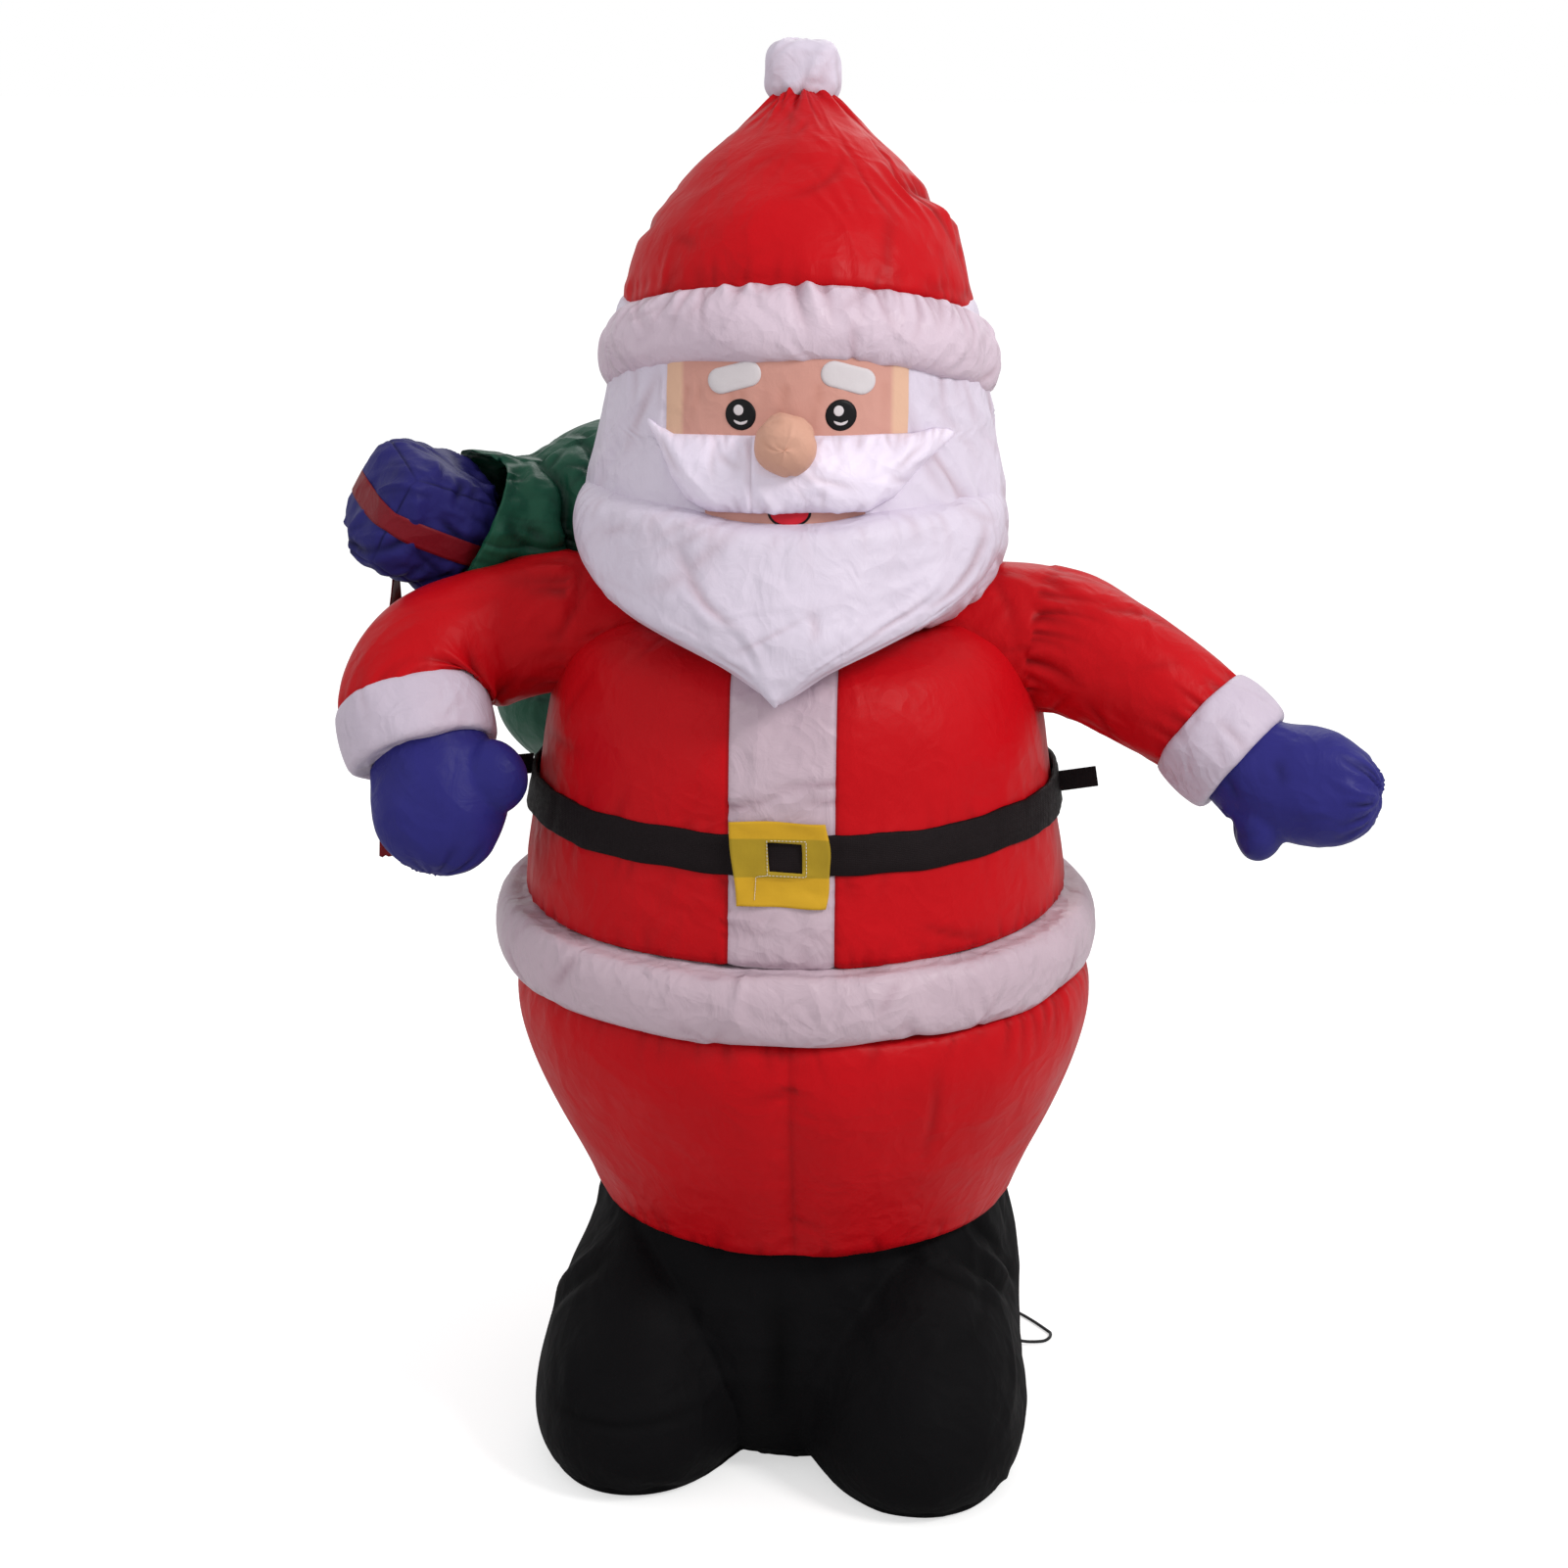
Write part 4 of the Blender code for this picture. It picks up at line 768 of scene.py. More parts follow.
body_tree = tree_of(jacket_cloth)
belt_tree = tree_of(belt_cloth)
cells = 33
buckle_points = []
for row in range(cells):
    for column in range(cells):
        up_share, side_share = row / (cells - 1), column / (cells - 1)
        left = -0.0425 + 0.0065 * (1 - up_share) + 0.0008 * math.sin(7 * up_share)
        right = 0.0365 + 0.0035 * math.sin(math.pi * up_share) + 0.0006 * math.sin(11 * up_share)
        x = left + (right - left) * side_share
        z = BUCKLE_AT - 0.0355 + 0.071 * up_share + 0.0010 * math.sin(5 * side_share)
        away = min(side_share, 1 - side_share, up_share, 1 - up_share)
        flare = 0.0022 * max(0, 1 - away / 0.16) * (0.5 + 0.5 * math.sin(9 * side_share + 7 * up_share))
        base = follow(body_tree, x, z, 0)
        over = follow(belt_tree, x, z, 0)
        front = min(base.y, over.y if over else base.y, -0.2245)
        buckle_points.append((x, front - 0.0012 - flare, z))
buckle_faces = []
for row in range(cells - 1):
    for column in range(cells - 1):
        if 13 <= row < 24 and 12 <= column < 23:
            continue
        corner = row * cells + column
        buckle_faces.append((corner, corner + 1, corner + cells + 1, corner + cells))
buckle_cloth = mesh_object("buckle_cloth", buckle_points, buckle_faces, [BUCKLE_CLOTH])
thickness = buckle_cloth.modifiers.new("Thickness", "SOLIDIFY")
thickness.thickness = 0.0009
stands_for(buckle_cloth, "buckle")

THREAD = Graph("white thread")
THREAD.link(THREAD.blend(THREAD.noise(400, 2), (0.72, 0.68, 0.62), (0.55, 0.50, 0.42)), THREAD.shader.inputs["Base Color"])
THREAD.bump([(THREAD.noise(1500, 2), 0.4, 0.0002)])


def stitches(name, line, tree, pitch, long, radius, material, above=0.0006):
    """Short threads lying on a surface along a line of (x, z) points."""
    fine = np.array(line, float)
    run_along = np.concatenate([[0], np.cumsum(np.linalg.norm(np.diff(fine, axis=0), axis=1))])
    points, faces = [], []
    count = int(run_along[-1] / pitch)
    for number in range(count):
        ends = []
        for shift in (0.0, long):
            x, z = (float(np.interp(number * pitch + shift, run_along, fine[:, axis])) for axis in (0, 1))
            hit = follow(tree, x, z, above)
            if hit is not None:
                ends.append(hit)
        if len(ends) < 2 or (ends[1] - ends[0]).length < radius:
            continue
        heading = (ends[1] - ends[0]).normalized()
        side = heading.cross(Vector((0, 1, 0))).normalized()
        lift = side.cross(heading)
        base = len(points)
        for share, thick in ((0, 0.4), (0.25, 1.0), (0.75, 1.0), (1, 0.4)):
            centre = ends[0].lerp(ends[1], share)
            for step in range(6):
                angle = TAU * step / 6
                points.append(centre + (side * math.cos(angle) + lift * math.sin(angle)) * radius * thick)
        for ring in range(3):
            for step in range(6):
                first = base + ring * 6 + step
                second = base + ring * 6 + (step + 1) % 6
                faces.append((first, second, second + 6, first + 6))
        faces += [tuple(base + step for step in range(6)), tuple(base + 18 + step for step in range(6))]
    return mesh_object(name, points, faces, [material])


buckle_tree = BVHTree.FromPolygons([Vector(p) for p in buckle_points], buckle_faces)
window_line = [(-0.0113, 0.6048), (-0.0108, 0.5756), (0.0208, 0.5750), (0.0204, 0.6044), (-0.0113, 0.6048)]
stitch_pieces = [
    stitches("buckle_stitches", window_line, buckle_tree, 0.0030, 0.0022, 0.00030, THREAD.material),
    stitches("buckle_thread_tail", [(-0.0108, 0.5756), (-0.0200, 0.5742), (-0.0212, 0.5530)], buckle_tree,
             0.0024, 0.0024, 0.00025, THREAD.material),
]
for piece in stitch_pieces:
    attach(piece, "root")

# Head with the face let in

HEAD_SIDE = [
    (0.060, 1.0090), (0.130, 1.0085), (0.149, 1.0030), (0.155, 0.9650), (0.160, 0.9300), (0.167, 0.8930),
    (0.1745, 0.8600), (0.1785, 0.8300), (0.1780, 0.8000), (0.1690, 0.7750), (0.1530, 0.7570), (0.130, 0.7440),
    (0.060, 0.7430),
]
FACE_HALF = 0.0975
HEAD_COLUMNS = 400
FACE_COLUMNS = 44
LIP_HALF = 0.0645


def face_half(z):
    return np.interp(z, [0.906, 0.914], [LIP_HALF, FACE_HALF])


points, around, along = turned_points(HEAD_SIDE, 96, HEAD_COLUMNS, edge_angles(face_half, FACE_COLUMNS, HEAD_COLUMNS))
head = Cloth(points, around, along, seed=21)
height = points[..., 2]
from_edge = np.where((points[..., 1] < 0) & (height > 0.855), np.abs(points[..., 0]) - face_half(height), 9)
head.lumps(22, 0.14, 0.0022)
cheek = np.where(np.abs(points[..., 0]) > FACE_HALF, 1.0, 0.0)
brow_t = float(np.interp(-0.955, -points[:, 0, 2], along[:, 0]))
jaw_t = float(np.interp(-0.850, -points[:, 0, 2], along[:, 0]))
head.puckers(brow_t, 1, 60, 0.045, 0.0045, 0.0016)
head.crinkles(90, 0.055, 0.0045, 0.0022, span=(0.60, 0.98), rows=(0.25, 0.85), angle=(0.2, 1.2))
head.crinkles(40, 0.050, 0.0055, 0.0013, span=(0.02, 0.38), rows=(0.25, 0.85), angle=(-1.2, 0.2))
for at, start, angle, length, tall in (
    (0.135, 0.905, 0.5, 0.06, 0.0028), (0.155, 0.880, 0.65, 0.07, -0.0024), (0.170, 0.860, 0.8, 0.07, 0.0028),
    (0.185, 0.845, 0.7, 0.06, -0.0034), (0.200, 0.835, 0.5, 0.06, 0.0034), (0.145, 0.860, 0.9, 0.06, 0.0026),
    (-0.150, 0.930, -0.5, 0.05, -0.0018), (-0.165, 0.900, -0.4, 0.06, 0.0018),
):
    head.fold(at, float(np.interp(-start, -points[:, 0, 2], along[:, 0])), angle, length, 0.0055, tall, both=True)
calm = np.where(cheek > 0, 1.0, 0.35)
head.lift *= calm
# The painted shade of folds is halved within the face's width and kept full on the cheeks and back.
head.painted_shade *= np.where(cheek > 0, 1.0, 0.5)
head.seam(from_edge, 0.0026, 0.0008, 0.3)
face_faces = np.zeros(points.shape[:2], int)
half = HEAD_COLUMNS // 2
face_faces[:, half - FACE_COLUMNS : half + FACE_COLUMNS] = 1
face_faces[height[:, 0] < 0.838] = 0
head_cloth = grid_object("head_cloth", head, [WHITE, SKIN], lambda cloth: face_faces)
stands_for(head_cloth, "head", "face_panel")
head_tree = tree_of(head_cloth)


def patch_object(name, outline, tree, above, material, rounding=0.22):
    """A sewn-on patch: an outline of (x, z) points, filled towards its middle and laid on a surface."""
    outline = np.asarray(outline, float)
    middle = outline.mean(axis=0)
    count = len(outline)
    rings = [(0.30, 1.0), (0.60, 1.0), (1 - rounding, 0.96), (1 - rounding * 0.4, 0.78), (1.0, 0.25), (1.0, -0.6)]
    points = [follow(tree, middle[0], middle[1], above)]
    for share, tall in rings:
        for x, z in middle + (outline - middle) * share:
            points.append(follow(tree, x, z, above * tall))
    faces = [(0, 1 + step, 1 + (step + 1) % count) for step in range(count)]
    for ring in range(len(rings) - 1):
        base = 1 + ring * count
        for step in range(count):
            other = (step + 1) % count
            faces.append((base + step, base + other, base + other + count, base + step + count))
    last = 1 + (len(rings) - 1) * count
    faces.append(tuple(last + step for step in range(count)))
    return mesh_object(name, points, faces, [material])


def ellipse(x, z, wide, tall, count=48, turn=0.0, start=0.0, stop=TAU):
    angles = np.linspace(start, stop, count, endpoint=abs(stop - start) < TAU - 1e-6)
    local = np.stack([wide * np.cos(angles), tall * np.sin(angles)], axis=1)
    c, s = math.cos(turn), math.sin(turn)
    return local @ np.array([[c, s], [-s, c]]) + np.array([x, z])


def stadium(x, z, long, tall, turn, count=20):
    ends = []
    for sign, start in ((1, -math.pi / 2), (-1, math.pi / 2)):
        ends.append(ellipse(sign * (long / 2 - tall / 2), 0, tall / 2, tall / 2, count, 0, start, start + math.pi))
    c, s = math.cos(turn), math.sin(turn)
    return np.vstack(ends) @ np.array([[c, s], [-s, c]]) + np.array([x, z])


PRINT_BLACK = polyester("black print", (0.008, 0.008, 0.009), (0.012, 0.012, 0.013), (0.004, 0.004, 0.004), 0.42, 0.12)
PRINT_WHITE = polyester("white print", (0.62, 0.58, 0.60), (0.54, 0.49, 0.51), (0.40, 0.36, 0.37), 0.5, 0.15)
LIP_RED = polyester("lip red", (0.58, 0.020, 0.035), (0.50, 0.014, 0.024), (0.30, 0.008, 0.014), 0.45, 0.15)
FACE_X = 0.004
for side, sign in (("left", 1), ("right", -1)):
    eye_x, eye_z = FACE_X + sign * 0.0399, 0.9372
    eye = patch_object(f"{side}_eye_print", ellipse(eye_x, eye_z, 0.0123, 0.0123), head_tree, 0.0014, PRINT_BLACK)
    stands_for(eye, f"{side}_eye")
    eye_tree = tree_of(eye)
    ring = patch_object(f"{side}_eye_glint", ellipse(eye_x - 0.0018, eye_z + 0.0036, 0.0040, 0.0042, 28), eye_tree, 0.0005, PRINT_WHITE)
    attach(ring, "root")
    smile = np.vstack([
        ellipse(eye_x, eye_z - 0.0040, 0.0056, 0.0038, 16, 0, math.pi, TAU),
        ellipse(eye_x, eye_z - 0.0040, 0.0056, 0.0017, 16, 0, TAU, math.pi)[1:-1],
    ])
    crescent = patch_object(f"{side}_eye_crescent", smile, eye_tree, 0.0005, PRINT_WHITE)
    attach(crescent, "root")
    brow_x = FACE_X + sign * 0.0451
    brow = patch_object(
        f"{side}_brow_print", stadium(brow_x, 0.9662, 0.0440, 0.0205, -sign * math.radians(17)), head_tree, 0.0016, PRINT_WHITE
    )
    stands_for(brow, f"{side}_eyebrow")

lip = np.vstack([
    ellipse(FACE_X, 0.8625, 0.0175, 0.0120, 24, 0, math.pi, TAU),
    ellipse(FACE_X, 0.8625, 0.0175, 0.0040, 24, 0, 0, math.pi)[1:-1],
])
lip_line = patch_object("mouth_outline", lip, head_tree, 0.0011, PRINT_BLACK)
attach(lip_line, "root")
inner = lip.mean(axis=0) + (lip - lip.mean(axis=0)) * np.array([0.91, 0.86])
stands_for(patch_object("mouth_print", inner, head_tree, 0.0017, LIP_RED), "mouth")

# Nose: a stuffed ball gathered at its edge

rows, columns = 48, 96
tilt = np.linspace(0.04, math.pi * 0.86, rows)[:, None]
turn = np.linspace(-math.pi, math.pi, columns, endpoint=False)[None, :]
NOSE_AT = np.array([0.002, -0.1870, 0.9195])
NOSE_R = 0.0248
points = np.stack(
    [np.sin(tilt) * np.sin(turn) * NOSE_R, -np.cos(tilt) * NOSE_R * 0.96 + 0 * turn, -np.sin(tilt) * np.cos(turn) * NOSE_R * 1.01],
    axis=-1,
) + NOSE_AT
nose = Cloth(points, turn * NOSE_R + 0 * tilt, tilt * NOSE_R + 0 * turn, seed=31)
nose.lumps(32, 0.030, 0.0009)
nose.puckers(NOSE_R * math.pi * 0.80, -1, 26, 0.026, 0.0022, 0.0014)
nose.crinkles(16, 0.016, 0.0020, 0.0009)
nose.fold(0.004, NOSE_R * 1.5, math.pi, 0.018, 0.0022, -0.0016)
stands_for(grid_object("nose_cloth", nose, [NOSE]), "nose")

# Moustache: a flat stuffed shape over the face

UPPER_LIP = [(-0.1150, 0.9270), (-0.1106, 0.9262), (-0.1010, 0.9215), (-0.0913, 0.9176), (-0.0635, 0.9200), (-0.0230, 0.9215), (0.0266, 0.9218),
             (0.0764, 0.9206), (0.1000, 0.9186), (0.1180, 0.9200), (0.1290, 0.9170), (0.1330, 0.9140)]
LOWER_LIP = [(-0.1150, 0.9240), (-0.1006, 0.9024), (-0.0916, 0.8831), (-0.0793, 0.8679), (-0.0614, 0.8606), (-0.0300, 0.8612), (0.0019, 0.8624),
             (0.0400, 0.8624), (0.0684, 0.8628), (0.0883, 0.8720), (0.1043, 0.8890), (0.1135, 0.8964), (0.1330, 0.9110)]


def pillow(name, upper, lower, rows, columns, depth, base, seed, material, dress):
    """A stuffed appliqué between two edges given as (x, z), standing out from a base surface y(x, z)."""
    xs = np.linspace(upper[0][0], upper[-1][0], columns)
    top = np.interp(xs, [p[0] for p in upper], [p[1] for p in upper])
    low = np.interp(xs, [p[0] for p in lower], [p[1] for p in lower])
    share = np.linspace(0, 1, rows)[:, None]
    share = 0.5 - 0.5 * np.cos(math.pi * share)
    z = top + (low - top) * share
    x = np.broadcast_to(xs, z.shape)
    reach = np.minimum(np.minimum(xs - xs[0], xs[-1] - xs), 0.045) / 0.045
    crown = (np.clip(1 - (2 * share - 1) ** 2, 0, 1)) ** 0.55 * (np.sin(reach * math.pi / 2) ** 0.7)
    points = np.stack([x, base(x, z) - depth * crown, z], axis=-1)
    cloth = Cloth(points, x, -z, wrap=False, seed=seed)
    dress(cloth, crown)
    cloth.lift *= np.clip(crown * 2.2, 0, 1)
    cloth.settle()
    front = cloth.points
    behind = np.stack([x, base(x, z) + 0.004, z], axis=-1)
    both = np.vstack([front.reshape(-1, 3), behind.reshape(-1, 3)])
    index = np.arange(rows * columns).reshape(rows, columns)
    quads = np.stack([index[:-1, :-1], index[:-1, 1:], index[1:, 1:], index[1:, :-1]], axis=-1).reshape(-1, 4)
    faces = quads.tolist() + (quads[:, ::-1] + rows * columns).tolist()
    edge = np.concatenate([index[0], index[1:, -1], index[-1, -2::-1], index[-2:0:-1, 0]])
    for a, b in zip(edge, np.roll(edge, -1)):
        faces.append((int(a), int(b), int(b + rows * columns), int(a + rows * columns)))
    painted_shade = np.concatenate([cloth.painted_shade.reshape(-1), np.zeros(rows * columns)])
    return mesh_object(name, both, faces, [material], painted_shade=painted_shade)


def face_depth(x, z):
    radius = np.interp(z, [0.80, 0.83, 0.86, 0.893, 0.93, 0.965], [0.178, 0.1785, 0.1745, 0.167, 0.160, 0.155])
    return -np.sqrt(np.maximum(radius**2 - x**2, 1e-4)) - 0.0012


def dress_moustache(cloth, crown):
    z = -cloth.along
    cloth.lumps(41, 0.07, 0.0018)
    cloth.seam(cloth.across + 0.026 + 0.02 * (z - 0.875), 0.0022, 0.0020 , 0.5)
    for at, start, angle, length, tall in (
        (-0.030, -0.880, 0.15, 0.024, 0.0016), (0.020, -0.893, 0.9, 0.030, 0.0020), (0.035, -0.890, 1.3, 0.030, -0.0014),
        (-0.070, -0.885, 0.8, 0.030, 0.0014), (0.075, -0.880, -0.6, 0.030, 0.0016), (0.100, -0.905, -0.9, 0.022, -0.0015),
        (-0.095, -0.905, 0.6, 0.022, -0.0014),
    ):
        cloth.fold(at, start, angle, length, 0.0035, tall, both=True)
    cloth.puckers(-0.9200, 1, 34, 0.014, 0.0024, 0.0014)
    cloth.puckers(-0.8625, -1, 34, 0.012, 0.0024, 0.0014)
    cloth.crinkles(46, 0.022, 0.0030, 0.0012)


moustache = pillow("moustache_cloth", UPPER_LIP, LOWER_LIP, 56, 200, 0.0215, face_depth, 42, LIT_MOUSTACHE_WHITE, dress_moustache)
stands_for(moustache, "moustache")

# Beard

BEARD = (
    (0.8640, -0.030, 0.120, 0.120), (0.8600, -0.030, 0.158, 0.160), (0.8500, -0.031, 0.176, 0.173), (0.8240, -0.032, 0.183, 0.181),
    (0.7960, -0.048, 0.173, 0.180), (0.7750, -0.098, 0.142, 0.139), (0.7570, -0.132, 0.099, 0.108),
    (0.7400, -0.150, 0.055, 0.090), (0.7250, -0.160, 0.026, 0.076), (0.7170, -0.164, 0.008, 0.066),
)
points, around, along = loft_points(
    [((-0.003, y, z), wide, deep, (0, 0, -1)) for z, y, wide, deep in BEARD], 80, 340, up=(0, 1, 0)
)
beard = Cloth(points, around, along, seed=51)
x, y, z = (points[..., axis] for axis in range(3))
sag = np.exp(-((x / 0.062) ** 4)) * np.clip((z - 0.83) / 0.03, 0, 1)
beard.points = beard.points + np.stack([0 * x, 0 * y, -0.0085 * sag], axis=-1)
beard.lumps(52, 0.10, 0.0022)
chin_t = float(np.interp(-0.853, -points[:, 0, 2], along[:, 0]))
beard.puckers(chin_t, 1, 60, 0.036, 0.0042, 0.0010)
beard.crinkles(80, 0.055, 0.0050, 0.0014)
beard.calm(chin_t, 0.020)
for at, start, angle, length, tall in (
    (-1.20, 0.79, 0.2, 0.05, 0.0024), (-1.75, 0.77, 0.1, 0.05, 0.0022), (-1.95, 0.80, 0.5, 0.06, -0.0022), (-0.85, 0.80, -0.6, 0.06, 0.0026),
    (-0.60, 0.81, -0.7, 0.06, -0.0026), (-0.95, 0.78, -0.4, 0.05, -0.0018),
):
    beard.fold(at * 0.18, float(np.interp(-start, -points[:, 0, 2], along[:, 0])), angle, length, 0.0060, tall, both=True)
stands_for(grid_object("beard_cloth", beard, [WHITE]), "beard")

# Hat, brim and pompom, tilted back

HAT_SEAT = (0.003, 0.0, 0.956)
HAT_TURN = Matrix.Rotation(-math.radians(20), 4, "X")
BRIM_SIDE = [
    (0.080, 0.0180), (0.120, 0.0185), (0.1400, 0.0250), (0.1475, 0.0322), (0.1545, 0.0300), (0.1620, 0.0205), (0.1673, 0.0085),
    (0.1680, -0.0035), (0.1650, -0.0160), (0.1570, -0.0265), (0.1470, -0.0295), (0.1360, -0.0260), (0.1200, -0.0160), (0.080, -0.0140),
]
points, around, along = turned_points(BRIM_SIDE, 70, 560)
brim = Cloth(placed(points, HAT_SEAT, HAT_TURN), around, along, seed=61)
seam_t = float(along[np.argmin(np.abs(points[:, 0, 0]) * 0 + np.abs(points[:, 0, 2] - 0.0325) + 5 * (np.hypot(points[:, 0, 0], points[:, 0, 1]) > 0.150)), 0])
brim.lumps(62, 0.11, 0.0018)
brim.puckers(seam_t, 1, 90, 0.044, 0.0032, 0.0034, slant=0.4)
brim.puckers(seam_t + 0.098, -1, 60, 0.022, 0.0036, 0.0016)
brim.crinkles(110, 0.032, 0.0036, 0.0022)
brim.calm(seam_t, 0.020)
for at, angle, length, tall in (
    (-0.062, 0.30, 0.040, 0.0040), (-0.048, 0.05, 0.034, -0.0036), (-0.030, -0.55, 0.030, 0.0040), (-0.018, -0.1, 0.026, -0.0030),
    (0.004, 0.0, 0.066, -0.0050), (0.012, 0.18, 0.052, 0.0048), (0.020, -0.2, 0.030, 0.0034), (0.075, 0.1, 0.060, -0.0036),
    (0.090, 0.12, 0.060, 0.0030), (0.130, -0.1, 0.050, -0.0026), (-0.110, 0.2, 0.040, 0.0028), (0.155, 0.0, 0.04, 0.0026),
):
    brim.fold(at, seam_t, angle, length, 0.0046, tall, 4.0)
brim.calm(seam_t, 0.010)
stands_for(grid_object("brim_cloth", brim, [BRIM_WHITE]), "hat_brim")

HAT_SIDE = [
    (0.0030, 0.2252), (0.0132, 0.2239), (0.0265, 0.2165), (0.0573, 0.1883), (0.0889, 0.1589), (0.1110, 0.1300), (0.1360, 0.0911),
    (0.1455, 0.0585), (0.1470, 0.0440), (0.1465, 0.0360), (0.1430, 0.0290), (0.1300, 0.0255), (0.0800, 0.0255),
]
points, around, along = turned_points(HAT_SIDE, 100, 400)
hat = Cloth(placed(points, HAT_SEAT, HAT_TURN), around, along, seed=71)
angle_round = around / 0.1475
level = np.broadcast_to(points[..., 2], around.shape)
tip = np.exp(-((along - 0.0) / 0.050) ** 2)
hat.lumps(72, 0.16, 0.0022)
hat.lift += 0.0030 * tip * (np.sin(9 * angle_round + 0.6) + 0.6 * np.sin(14 * angle_round + 2.0)) * np.clip(along / 0.02, 0, 1)
edge_t = float(np.interp(-0.0365, -points[:, 0, 2], along[:, 0]))
hat.puckers(edge_t, -1, 70, 0.026, 0.0038, 0.0012)
for number in range(26):
    where = hat.rng.uniform(-math.pi, math.pi) * 0.1475
    hat.fold(where, hat.rng.uniform(0.012, 0.040), hat.rng.normal(0, 0.35), hat.rng.uniform(0.03, 0.07), 0.0045, hat.rng.uniform(-1, 1) * 0.0024, both=True)
notch_t = float(np.interp(-0.128, -points[:, 0, 2], along[:, 0]))
notch = 1.32 * 0.1475
hat.fold(notch, notch_t, 1.45, 0.075, 0.0080, -0.0062, both=True)
hat.fold(notch, notch_t + 0.024, 1.45, 0.080, 0.0140, 0.0050, both=True)
hat.fold(-1.40 * 0.1475, notch_t + 0.030, 1.5, 0.05, 0.0060, -0.0030, both=True)
for shift, slant, tall in ((-0.020, 0.5, 0.0022), (-0.045, 0.7, -0.0020), (-0.065, 0.35, 0.0020), (0.010, 0.9, -0.0018), (-0.085, 0.6, 0.0016)):
    hat.fold(notch + shift, notch_t + 0.010, slant, 0.055, 0.0042, tall, both=True)
hat.crinkles(60, 0.045, 0.0045, 0.0012, span=(0.45, 0.80))
hat.crinkles(50, 0.040, 0.0040, 0.0012)
hat.calm(edge_t, 0.010)
stands_for(grid_object("hat_cloth", hat, [RED]), "hat")

hat_axis = HAT_TURN.to_3x3() @ Vector((0, 0, 1))
pompom_at = Vector(HAT_SEAT) + hat_axis * 0.241 + Vector((-0.002, 0.010, 0))
rows, columns = 56, 112
tilt = np.linspace(0.03, math.pi - 0.03, rows)[:, None]
turn = np.linspace(-math.pi, math.pi, columns, endpoint=False)[None, :]
ball = np.stack([np.sin(tilt) * np.sin(turn), -np.sin(tilt) * np.cos(turn), np.cos(tilt) + 0 * turn], axis=-1)
ball *= (np.abs(ball) ** 3.2).sum(axis=-1, keepdims=True) ** (-1 / 3.2) * np.array([0.0318, 0.0318, 0.0275])
pompom = Cloth(placed(ball, pompom_at, Matrix.Rotation(-math.radians(12), 4, "X")), turn * 0.033 + 0 * tilt, tilt * 0.033 + 0 * turn, seed=81)
pompom.lumps(82, 0.035, 0.0012)
pompom.puckers(0.092, -1, 30, 0.050, 0.0030, 0.0026)
pompom.puckers(0.006, 1, 18, 0.030, 0.0030, 0.0016)
pompom.crinkles(26, 0.022, 0.0026, 0.0014)
stands_for(grid_object("pompom_cloth", pompom, [WHITE]), "pompom")

# Sleeves, cuffs and mittens

SLEEVE_R = 0.064
LEFT_AXIS = Vector((0.74, -0.30, -0.60))
RIGHT_AXIS = Vector((0.30, -0.50, -0.81))
LEFT_CUFF_AT = (0.359, -0.070, 0.650)
RIGHT_CUFF_AT = (-0.315, -0.087, 0.657)


def sleeve(name, stations, seed, dress, node):
    points, around, along = loft_points(stations, 96, 190)
    cloth = Cloth(points, around, along, seed=seed)
    dress(cloth)
    return stands_for(grid_object(name, cloth, [RED]), node)


def dress_left_sleeve(cloth):
    end = cloth.along.max()
    root = 0.105
    top = SLEEVE_R * math.pi / 2
    cloth.lumps(91, 0.10, 0.0018)
    cloth.seam(cloth.offset(top * 0.62) + 0 * cloth.along, 0.0045, 0.0020)
    cloth.puckers(end - 0.004, -1, 44, 0.042, 0.0040, 0.0017)
    cloth.puckers(root, 1, 40, 0.050, 0.0042, 0.0026)
    cloth.crinkles(90, 0.034, 0.0040, 0.0017, span=(0.62, 0.92), rows=(0.2, 1.0))
    cloth.crinkles(60, 0.045, 0.0042, 0.0014)
    for at, start, angle, length, tall in ((0.050, 0.20, 0.4, 0.06, 0.0024), (0.062, 0.23, 0.1, 0.05, -0.0022), (0.030, 0.26, -0.4, 0.05, 0.0018)):
        cloth.fold(at, start, angle, length, 0.0050, tall, both=True)


def dress_right_sleeve(cloth):
    end = cloth.along.max()
    cloth.lumps(95, 0.10, 0.0018)
    cloth.seam(cloth.offset(SLEEVE_R * 2.0) + 0 * cloth.along, 0.0045, 0.0018)
    cloth.puckers(end - 0.004, -1, 40, 0.032, 0.0040, 0.0015)
    cloth.puckers(0.09, 1, 30, 0.040, 0.0050, 0.0016)
    cloth.crinkles(60, 0.040, 0.0048, 0.0014)
    inner = -SLEEVE_R * 0.9
    for shift, start, angle, length, tall in (
        (0.000, 0.200, 1.2, 0.060, -0.0050), (0.010, 0.186, 0.9, 0.060, 0.0036), (-0.006, 0.212, 1.6, 0.055, 0.0034),
        (0.016, 0.172, 0.6, 0.055, -0.0026), (0.004, 0.222, 1.9, 0.045, -0.0028), (0.030, 0.190, 1.1, 0.040, 0.0022),
    ):
        cloth.fold(inner + shift, start, angle, length, 0.0056, tall, both=True)


